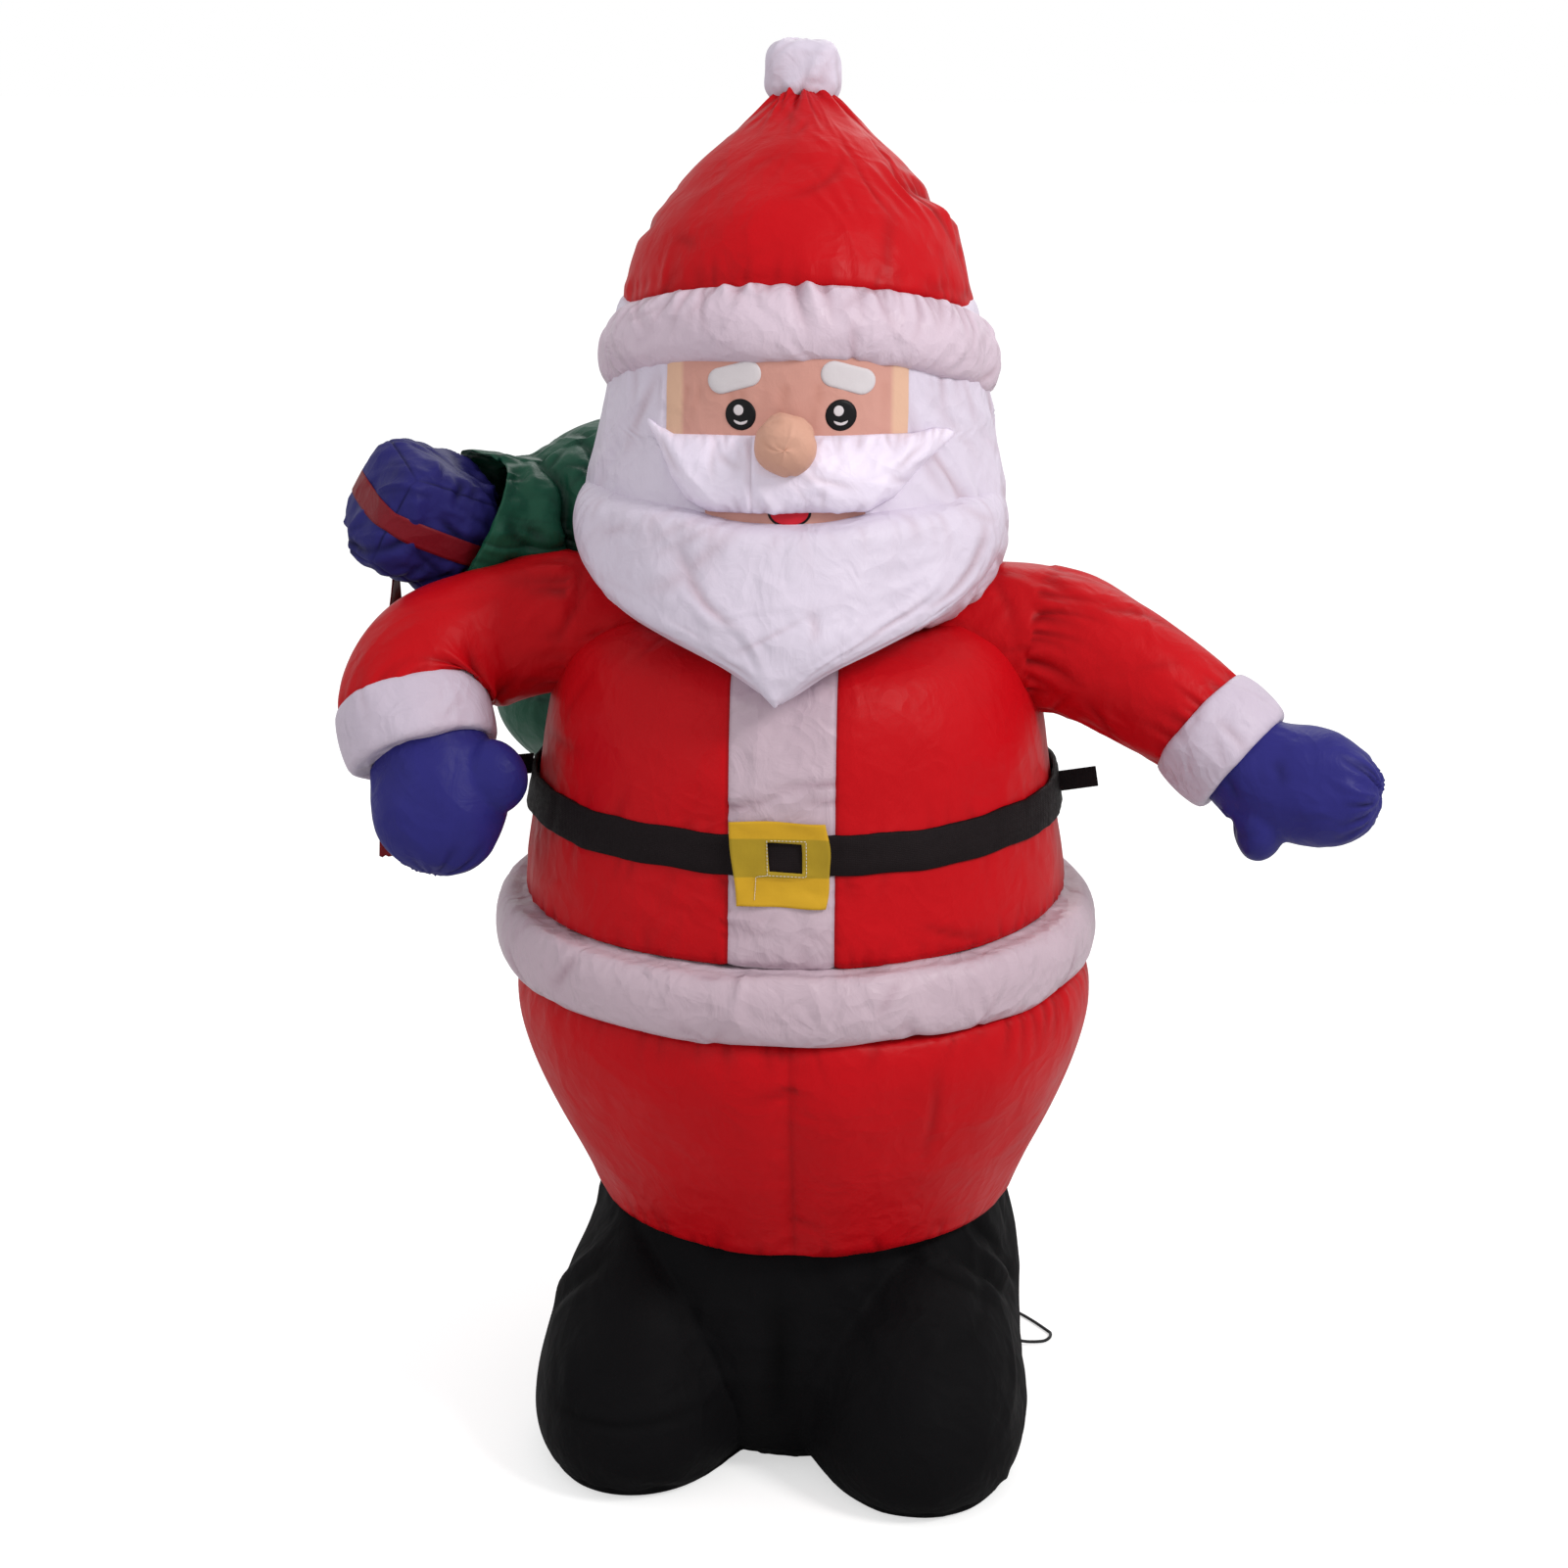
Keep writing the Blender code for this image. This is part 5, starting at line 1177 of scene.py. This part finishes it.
sleeve(
    "left_sleeve_cloth",
    [
        ((0.110, 0.000, 0.7119), 0.0625, 0.0625),
        ((0.178, -0.003, 0.7212), 0.0635, 0.0640),
        ((0.226, -0.012, 0.7190), 0.0603, 0.0598),
        ((0.272, -0.028, 0.7020), 0.0567, 0.0562),
        ((0.318, -0.048, 0.6775), 0.0518, 0.0518),
        ((0.349, -0.064, 0.6560), 0.0472, 0.0472, LEFT_AXIS),
    ],
    91,
    dress_left_sleeve,
    "left_sleeve",
)
sleeve(
    "right_sleeve_cloth",
    [
        ((-0.110, 0.000, 0.7120), 0.0600, 0.0620, (-1, 0, 0.1)),
        ((-0.190, -0.004, 0.7285), 0.0600, 0.0620, (-1, -0.04, 0)),
        ((-0.250, -0.016, 0.7190), 0.0590, 0.0590, (-1, -0.15, -0.12)),
        ((-0.2966, -0.044, 0.7100), 0.0600, 0.0605, (-0.70, -0.42, -0.58)),
        ((-0.3215, -0.0735, 0.6830), 0.0600, 0.0600, (0.15, -0.52, -0.82)),
        ((-0.3158, -0.084, 0.6640), 0.0570, 0.0570, RIGHT_AXIS),
    ],
    95,
    dress_right_sleeve,
    "right_sleeve",
)


def cuff(name, radius, at, axis, seed, node):
    half = 0.0268
    profile = [
        (0.010, half - 0.002), (radius - 0.016, half - 0.001), (radius - 0.007, half), (radius - 0.0015, half - 0.006),
        (radius + 0.0006, 0.000), (radius - 0.0015, -half + 0.006), (radius - 0.007, -half), (radius - 0.016, -half + 0.001),
        (0.010, -half + 0.002),
    ]
    points, around, along = turned_points(profile, 48, 190)
    turn = axis.normalized().to_track_quat("Z", "Y")
    cloth = Cloth(placed(points, at, turn), around, along, seed=seed)
    heights = points[:, 0, 2]
    top_t = float(np.interp(-(half - 0.001), -heights, along[:, 0]))
    low_t = float(np.interp(half - 0.001, -heights, along[:, 0]))
    cloth.lumps(seed + 1, 0.07, 0.0014)
    cloth.puckers(top_t, 1, 40, 0.022, 0.0034, 0.0015)
    cloth.puckers(low_t, -1, 44, 0.026, 0.0034, 0.0018)
    cloth.crinkles(26, 0.026, 0.0036, 0.0013)
    return stands_for(grid_object(name, cloth, [SHADED_CUFF_WHITE]), node)


cuff("left_cuff_cloth", 0.055, LEFT_CUFF_AT, LEFT_AXIS, 101, "left_cuff")
cuff("right_cuff_cloth", 0.066, RIGHT_CUFF_AT, RIGHT_AXIS, 104, "right_cuff")


def ball_points(radii, at, rows=40, columns=64, turn=0.0):
    tilt = np.linspace(0.02, math.pi - 0.02, rows)[:, None]
    around = np.linspace(-math.pi, math.pi, columns, endpoint=False)[None, :]
    ball = np.stack([np.sin(tilt) * np.sin(around), -np.sin(tilt) * np.cos(around), np.cos(tilt) + 0 * around], axis=-1)
    return placed(ball * np.array(radii), at, Matrix.Rotation(turn, 4, "Z"))


def closed_grid(work, points):
    """Adds a wrapped grid, closed at both ends, to a bmesh."""
    rows = [[work.verts.new(p) for p in row] for row in points]
    for row, following in zip(rows, rows[1:]):
        for step in range(len(row)):
            other = (step + 1) % len(row)
            work.faces.new((row[step], row[other], following[other], following[step]))
    work.faces.new(rows[0])
    work.faces.new(rows[-1])


def merged(name, grids, voxel, smoothing):
    """Closed grids joined into one skin of even cells, with its corners eased."""
    work = bmesh.new()
    for points in grids:
        closed_grid(work, points)
    bmesh.ops.recalc_face_normals(work, faces=work.faces)
    mesh = bpy.data.meshes.new(name)
    work.to_mesh(mesh)
    work.free()
    made = bpy.data.objects.new(name, mesh)
    scene.collection.objects.link(made)
    remesh = made.modifiers.new("Cells", "REMESH")
    remesh.mode = "VOXEL"
    remesh.voxel_size = voxel
    ease = made.modifiers.new("Ease", "SMOOTH")
    ease.factor = 0.5
    ease.iterations = smoothing
    bpy.context.view_layer.update()
    final = bpy.data.meshes.new_from_object(made.evaluated_get(bpy.context.evaluated_depsgraph_get()))
    made.modifiers.clear()
    made.data = final
    return made


class Skin(Cloth):
    """Cloth over any mesh: its folds are placed by two coordinates worked out for each vertex."""

    def __init__(self, made, across, along, period=1e9, seed=1):
        self.made = made
        mesh = made.data
        count = len(mesh.vertices)
        flat = np.empty(count * 3)
        mesh.vertices.foreach_get("co", flat)
        place = flat.reshape(-1, 3)
        super().__init__(place[:, None], across(place)[:, None], along(place)[:, None], wrap=False, seed=seed)
        self.period = np.full((count, 1), period)

    def normals(self):
        flat = np.empty(len(self.made.data.vertices) * 3)
        self.made.data.vertex_normals.foreach_get("vector", flat)
        return flat.reshape(-1, 1, 3)

    def finish(self, material, flat_below=None):
        self.settle()
        if flat_below is not None:
            self.points[..., 2] = np.maximum(self.points[..., 2], flat_below)
        mesh = self.made.data
        mesh.vertices.foreach_set("co", self.points.reshape(-1))
        mesh.materials.clear()
        mesh.materials.append(material)
        # Stores the per-point painted shade for the material.
        layer = mesh.attributes.new("painted_shade", "FLOAT", "POINT")
        layer.data.foreach_set("value", np.clip(self.painted_shade, 0, 1).reshape(-1).astype(np.float32))
        mesh.shade_smooth()
        mesh.update()
        return self.made


def mitten(name, stations, thumb, seed, dress, node):
    points, _, _ = loft_points(stations, 60, 72)
    made = merged(name, [points, thumb], 0.0024, 5)
    start = np.array(stations[0][0])
    heading = np.array(stations[-1][0]) - start
    reach = float(np.linalg.norm(heading))
    heading /= reach
    side = np.cross(heading, (0, 1, 0))
    side /= np.linalg.norm(side)
    lift = np.cross(side, heading)
    radius = 0.05

    def across(place):
        from_line = place - start
        return np.arctan2(from_line @ lift, from_line @ side) * radius

    skin = Skin(made, across, lambda place: (place - start) @ heading, TAU * radius, seed)
    dress(skin, reach)
    return stands_for(skin.finish(BLUE), node)


def dress_left_mitten(skin, reach):
    skin.lift += 0.0014 * smooth_noise(111, skin.across, skin.along, 0.05)
    skin.puckers(0.016, 1, 26, 0.034, 0.0036, 0.0016, span=(-0.5, 0.5))
    for at in np.linspace(-0.157, 0.157, 15):
        skin.fold(float(at) + skin.rng.normal(0, 0.004), reach * 0.96, math.pi + skin.rng.normal(0, 0.2), skin.rng.uniform(0.018, 0.040), 0.0038,
                  skin.rng.choice([-1, 1], p=[0.65, 0.35]) * skin.rng.uniform(0.0016, 0.0032))
    skin.crinkles(22, 0.024, 0.0036, 0.0014)


def dress_right_mitten(skin, reach):
    skin.lift += 0.0014 * smooth_noise(115, skin.across, skin.along, 0.06)
    skin.puckers(0.018, 1, 26, 0.030, 0.0036, 0.0013, span=(-0.5, 0.5))
    for at in np.linspace(-0.157, 0.157, 13):
        skin.fold(float(at) + skin.rng.normal(0, 0.004), reach * 0.97, math.pi + skin.rng.normal(0, 0.2), skin.rng.uniform(0.014, 0.028), 0.0036,
                  skin.rng.choice([-1, 1], p=[0.65, 0.35]) * skin.rng.uniform(0.0010, 0.0022))
    skin.crinkles(12, 0.024, 0.0040, 0.0010)


mitten(
    "left_mitten_cloth",
    [
        ((0.366, -0.073, 0.644), 0.040, 0.040, LEFT_AXIS),
        ((0.396, -0.087, 0.627), 0.047, 0.043),
        ((0.427, -0.098, 0.620), 0.050, 0.042),
        ((0.457, -0.108, 0.618), 0.046, 0.037),
        ((0.479, -0.115, 0.619), 0.031, 0.026),
        ((0.489, -0.118, 0.619), 0.012, 0.010),
    ],
    ball_points((0.023, 0.023, 0.034), (0.392, -0.104, 0.590)),
    111,
    dress_left_mitten,
    "left_mitten",
)
mitten(
    "right_mitten_cloth",
    [
        ((-0.303, -0.098, 0.641), 0.050, 0.045, RIGHT_AXIS),
        ((-0.296, -0.107, 0.618), 0.056, 0.048),
        ((-0.293, -0.117, 0.590), 0.057, 0.046),
        ((-0.294, -0.124, 0.566), 0.049, 0.039),
        ((-0.296, -0.129, 0.549), 0.033, 0.026),
        ((-0.297, -0.132, 0.541), 0.013, 0.011),
    ],
    ball_points((0.030, 0.026, 0.034), (-0.249, -0.120, 0.622)),
    115,
    dress_right_mitten,
    "right_mitten",
)

# Gift with its ribbon

GIFT_AT = np.array([-0.3245, 0.030, 0.811])
GIFT_HALF = 0.053
GIFT_TURN = np.array(Matrix.Rotation(math.radians(29), 3, "Y") @ Matrix.Rotation(math.radians(29), 3, "Z"))


def gift_place(cube, out=0.0):
    """A point of the cube from -1 to 1, drawn in at its corners and swollen on its faces, in place."""
    size = 1.03 * GIFT_HALF / (np.abs(cube) ** 3.7).sum(axis=-1, keepdims=True) ** (1 / 3.7)
    local = cube / np.linalg.norm(cube, axis=-1, keepdims=True)
    local = local * (size * np.linalg.norm(cube, axis=-1, keepdims=True) + out)
    return local @ GIFT_TURN.T + GIFT_AT


work = bmesh.new()
bmesh.ops.create_cube(work, size=2.0)
bmesh.ops.subdivide_edges(work, edges=work.edges, cuts=43, use_grid_fill=True)
cube = np.array([v.co for v in work.verts])
order = np.sort(np.abs(cube), axis=1)
for vert, place in zip(work.verts, gift_place(cube)):
    vert.co = place
mesh = bpy.data.meshes.new("gift_cloth")
work.to_mesh(mesh)
work.free()
mesh.shade_smooth()
gift_cloth = bpy.data.objects.new("gift_cloth", mesh)
scene.collection.objects.link(gift_cloth)
gift_skin = Skin(
    gift_cloth,
    lambda p: (p - GIFT_AT) @ GIFT_TURN @ np.array([0.95, 0.62, 0.20]),
    lambda p: (p - GIFT_AT) @ GIFT_TURN @ np.array([-0.30, 0.62, 0.95]),
    seed=121,
)
gift_skin.lift += 0.0022 * smooth_noise(122, gift_skin.across, gift_skin.along, 0.05)
gift_skin.crinkles(60, 0.034, 0.0034, 0.0040)
gift_skin.crinkles(60, 0.016, 0.0024, 0.0018)
edge_near = (np.clip((order[:, 1] - 0.93) / 0.07, 0, 1) * np.clip((1.6 - order[:, 0]) / 1.0, 0, 1))[:, None]
gift_skin.lift -= 0.0016 * edge_near**2
under_ribbon = np.exp(-((cube[:, 2:3] / 0.24) ** 4))
gift_skin.lift *= 1 - 0.85 * under_ribbon
# Painted shade along the drawn-in edges of the box.
gift_skin.painted_shade = np.maximum(gift_skin.painted_shade, 0.7 * edge_near**3)
stands_for(gift_skin.finish(GIFT_BLUE), "gift")


def cube_band(half_width, out, per_side=40, cross=9):
    """Points of a band round the four upright sides of the cube."""
    walk = np.linspace(-1, 1, per_side, endpoint=False)
    square = np.array([(w, -1) for w in walk] + [(1, w) for w in walk] + [(-w, 1) for w in walk] + [(-1, -w) for w in walk])
    shares = np.linspace(-1, 1, cross)
    rows = [(share, out) for share in shares] + [(share, 0.0002) for share in shares[::-1]]
    points = []
    for share, above in rows:
        level = share * half_width / GIFT_HALF
        points.append(gift_place(np.hstack([square, np.full((len(square), 1), level)]), above))
    return np.array(points)


ribbon_cloth = loop_object("gift_ribbon_cloth", cube_band(0.0100, 0.0014), [RIBBON_RED])
stands_for(ribbon_cloth, "gift_ribbon")

# The gift's ribbon end, hanging behind the arm

TAIL_TOP = np.array([-0.352, 0.052, 0.754])
TAIL_LENGTH = 0.258
TAIL_WIDTH = 0.022
share = np.linspace(0, 1, 80)[:, None]
cross = np.linspace(-0.5, 0.5, 9)[None, :]
angle = math.radians(75) * (1 - share) ** 1.4 + 0.10 * np.sin(9 * share)
wave = 0.0016 * np.sin(14 * share + 3 * cross)
centre = TAIL_TOP + np.concatenate([-0.012 * share, 0.004 * np.sin(3 * share), -TAIL_LENGTH * share], axis=1)
tail_points = np.stack(
    [
        centre[:, 0:1] + np.cos(angle) * TAIL_WIDTH * cross - np.sin(angle) * wave,
        centre[:, 1:2] + np.sin(angle) * TAIL_WIDTH * cross + np.cos(angle) * wave,
        centre[:, 2:3] + 0.0010 * np.sin(20 * cross) * share,
    ],
    axis=-1,
)
tail_cloth = Cloth(tail_points, cross * TAIL_WIDTH + 0 * share, share * TAIL_LENGTH + 0 * cross, wrap=False, seed=131)
tail_cloth.crinkles(14, 0.02, 0.0022, 0.0007)
tail = grid_object("ribbon_tail_cloth", tail_cloth, [RIBBON_RED])
thickness = tail.modifiers.new("Thickness", "SOLIDIFY")
thickness.thickness = 0.0008
stands_for(tail, "ribbon_tail")

# Sack: a full body behind the figure, a rolled collar round its mouth and an inside darkened with painted shade

SACK = [
    ((-0.172, 0.160, 0.542), 0.020, 0.018),
    ((-0.172, 0.160, 0.552), 0.058, 0.054),
    ((-0.174, 0.168, 0.595), 0.105, 0.095),
    ((-0.168, 0.172, 0.680), 0.113, 0.101),
    ((-0.165, 0.166, 0.7571), 0.101, 0.091),
    ((-0.1763, 0.1253, 0.8040), 0.077, 0.073, (-0.62, -0.78, 0.20)),
    ((-0.226, 0.064, 0.800), 0.0590, 0.0610, (-0.88, -0.46, 0.05)),
    ((-0.258, 0.048, 0.803), 0.0585, 0.0605, (-0.92, -0.30, 0.26)),
    ((-0.276, 0.042, 0.807), 0.059, 0.061, (-0.87, -0.22, 0.44)),
]
points, around, along = loft_points(SACK, 140, 260, up=(-0.3, 1, 0.2))
turn = around / float(np.abs(around).max()) * math.pi
behind = (turn - 2.5) - TAU * np.round((turn - 2.5) / TAU)
flap = np.exp(-((behind / 0.55) ** 2))
points = points + (np.clip(1 - (along.max() - along) / 0.045, 0, 1) ** 1.5 * flap)[..., None] * np.array([-0.034, 0.0, 0.006])
sack = Cloth(points, around, along, seed=141)
facing = np.clip(-sack.normals()[..., 1] + 0.15, 0, 1)
mouth_t = float(along.max())
from_mouth = mouth_t - along
sack.lumps(142, 0.12, 0.0018)
sack.seam(sack.offset(0.115 * math.pi / 2) + 0 * along, 0.0060, 0.0030, 0.5)
sack.seam(sack.offset(-0.115 * math.pi / 2) + 0 * along, 0.0060, 0.0030, 0.5)
sack.seam_across(0.085, 0.0060, 0.0025, 0.5)
sack.crinkles(90, 0.060, 0.0050, 0.0018)
collar = np.clip(1 - from_mouth / 0.075, 0, 1)
for at, wide, tall in ((0.012, 0.012, 0.0030), (0.030, 0.006, -0.0030), (0.043, 0.010, 0.0030), (0.058, 0.0045, -0.0170), (0.073, 0.011, 0.0080), (0.090, 0.0045, -0.0110)):
    wander = 0.006 * np.sin(2.3 * turn + 40 * at) + 0.003 * np.sin(5.1 * turn + 90 * at)
    shape = np.exp(-(((from_mouth - at + wander) / wide) ** 2))
    sack.lift += tall * shape * facing**1.5
    # Deep collar valleys on the front-facing side get painted shade.
    if tall < -0.004:
        sack.painted_shade = np.maximum(sack.painted_shade, 0.9 * shape * facing)
sack.lift += 0.0016 * collar * np.sin(from_mouth / 0.0048 + 1.5 * np.sin(2 * turn))
sack.lift += 0.0022 * collar * smooth_noise(145, around, along, 0.028)
sack.crinkles(70, 0.028, 0.0034, 0.0026, rows=(0.75, 1.0))
sack.settle()
outer = sack.points
middles = outer.mean(axis=1, keepdims=True)
inside = (middles + (outer - middles) * 0.955)[::-1][2:24]
both = np.concatenate([outer, inside], axis=0)
steps = np.arange(len(both))[:, None] * 0.002
sack_all = Cloth(both, np.broadcast_to(around[:1], both.shape[:2]), np.broadcast_to(steps, both.shape[:2]), seed=1)
# Painted shade: the inside of the sack is darkened, less so under the turned-out flap.
sack_all.painted_shade = np.concatenate([sack.painted_shade, 0.95 - 0.85 * flap[: len(inside)]], axis=0)
stands_for(grid_object("sack_cloth", sack_all, [GREEN]), "sack")

# Boots: two toes that swell out of one ankle, flat underneath

BOOTS_SIDE = np.array([
    (0.132, 0.0), (0.144, 0.0066), (0.160, 0.0198), (0.174, 0.044), (0.184, 0.0704), (0.193, 0.099), (0.194, 0.132),
    (0.190, 0.165), (0.184, 0.1958), (0.180, 0.220),
])
BOOTS_TOP = 0.2197
TOE_FULL_Z = 0.045
TOES = (((0.102, -0.106), math.radians(7)), ((-0.129, -0.082), -math.radians(7)))


def toe_reach(heading, at, turn, fullness):
    """Distances from the ankle's axis to the far side of a toe, on many headings."""
    back = np.array([[math.cos(turn), math.sin(turn)], [-math.sin(turn), math.cos(turn)]])
    squash = np.array([0.100, 0.160]) * fullness
    along, off = heading @ back.T / squash, np.array(at) @ back.T / squash
    length = (along**2).sum(axis=1)
    middle = along @ off / length
    under = middle**2 - (off @ off - 1) / length
    reach = np.where(under > 0, middle + np.sqrt(np.maximum(under, 0)), middle * np.exp(np.minimum(under, 0) / 0.0025))
    return np.where(middle > 0, reach, 0.0)


def boots_row(heading, height):
    reaches = [np.full(len(heading), np.interp(height, BOOTS_SIDE[:, 1], BOOTS_SIDE[:, 0]))]
    rise = (height - TOE_FULL_Z) / (0.220 - TOE_FULL_Z if height > TOE_FULL_Z else TOE_FULL_Z * 1.9)
    fullness = max(0.0, 1 - rise * rise) ** (0.8 if height > TOE_FULL_Z else 0.5)
    if fullness > 0.02:
        reaches += [toe_reach(heading, at, turn, fullness) for at, turn in TOES]
    return sum(reach**12 for reach in reaches) ** (1 / 12)


BOOTS_COLUMNS = 360
angles = np.linspace(-math.pi, math.pi, BOOTS_COLUMNS, endpoint=False)
heading = np.stack([np.sin(angles), -np.cos(angles)], axis=1)
levels = BOOTS_TOP * (1 - np.linspace(0, 1, 96) ** 0.85)
rows = []
for level, share in [(BOOTS_TOP, s) for s in (0.4, 0.7, 0.9, 0.97)] + [(z, 1.0) for z in levels] + [(0.0, s) for s in (0.985, 0.95, 0.7, 0.3)]:
    flat = heading * (boots_row(heading, level) * share)[:, None] + np.array([0.006, 0.020])
    rows.append(np.hstack([flat, np.full((BOOTS_COLUMNS, 1), level)]))
points = np.array(rows)
steps = np.linalg.norm(np.diff(points, axis=0), axis=2).mean(axis=1)
along = np.concatenate([[0], np.cumsum(steps)])[:, None]
along = along - along[4]
boots = Cloth(points, angles[None, :] * 0.19 + 0 * along, along + 0 * angles[None, :], seed=151)
sole_t = float(along[-5, 0])
boots.lumps(152, 0.12, 0.0022)
boots.puckers(0.0, 1, 60, 0.045, 0.0050, 0.0018)
boots.puckers(sole_t - 0.012, -1, 60, 0.030, 0.0045, 0.0016)
boots.seam_across(sole_t - 0.012, 0.0035, 0.0012, 0.3)
boots.crinkles(90, 0.06, 0.0055, 0.0020)
for at, start, angle, length, width, tall in (
    (0.185, 0.055, 0.75, 0.080, 0.0060, -0.0050), (0.200, 0.048, 0.70, 0.075, 0.0070, 0.0045), (0.232, 0.060, 0.60, 0.060, 0.0050, -0.0035),
    (0.215, 0.030, 0.85, 0.050, 0.0050, -0.0030), (-0.190, 0.070, -0.55, 0.060, 0.0055, -0.0035), (-0.205, 0.065, -0.50, 0.060, 0.0060, 0.0030),
    (-0.010, 0.110, 0.00, 0.090, 0.0120, -0.0030), (0.060, 0.060, 0.35, 0.060, 0.0060, 0.0022), (-0.080, 0.080, -0.30, 0.060, 0.0060, 0.0022),
):
    boots.fold(at, start, angle, length, width, tall, both=True)
boots.calm(0.0, 0.008).settle()
boots.points[..., 2] = np.clip(boots.points[..., 2], 0.0, BOOTS_TOP)
stands_for(grid_object("boots_cloth", boots, [BLACK]), "boots")

# Webbing tabs, blower, gland and plug keep their solids under new finishes

for name in ("left_tether_tab", "right_tether_tab", "left_ground_tab", "right_ground_tab"):
    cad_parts[name].data.materials.clear()
    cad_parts[name].data.materials.append(WEBBING.material)

MOULDED = Graph("moulded plastic")
MOULDED.link(MOULDED.blend(MOULDED.noise(30, 3), (0.012, 0.012, 0.013), (0.020, 0.020, 0.022)), MOULDED.shader.inputs["Base Color"])
MOULDED.link(MOULDED.spread(MOULDED.noise(80, 2), 0.3, 0.7, 0.36, 0.50), MOULDED.shader.inputs["Roughness"])
MOULDED.bump([(MOULDED.noise(1400, 2), 0.25, 0.0002)])
MOULDED.set(specular_ior_level=0.3)
for name in ("blower", "cord_gland", "power_plug"):
    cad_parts[name].data.materials.clear()
    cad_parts[name].data.materials.append(MOULDED.material)
METAL = Graph("nickel pins")
METAL.link(METAL.blend(METAL.noise(200, 2), (0.60, 0.59, 0.57), (0.50, 0.49, 0.47)), METAL.shader.inputs["Base Color"])
METAL.link(METAL.spread(METAL.noise(500, 2), 0.3, 0.7, 0.2, 0.34), METAL.shader.inputs["Roughness"])
METAL.set(metallic=1.0)
for name in ("plug_pin_1", "plug_pin_2"):
    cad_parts[name].data.materials.clear()
    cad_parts[name].data.materials.append(METAL.material)

# Floor

floor_graph = Graph("pale floor")
floor_graph.link(floor_graph.blend(floor_graph.noise(2, 2), (0.64, 0.64, 0.64), (0.62, 0.62, 0.62)), floor_graph.shader.inputs["Base Color"])
floor_graph.set(roughness=0.95, specular_ior_level=0.0, emission_color=(1, 1, 1, 1))
floor_seen = floor_graph.node("ShaderNodeLightPath")
floor_graph.link(floor_graph.math("MULTIPLY", floor_seen.outputs["Is Camera Ray"], 0.56), floor_graph.shader.inputs["Emission Strength"])
floor = mesh_object("floor", [(-9, -9, -0.0005), (9, -9, -0.0005), (9, 12, -0.0005), (-9, 12, -0.0005)], [(0, 1, 2, 3)], [floor_graph.material])

bpy.context.view_layer.update()
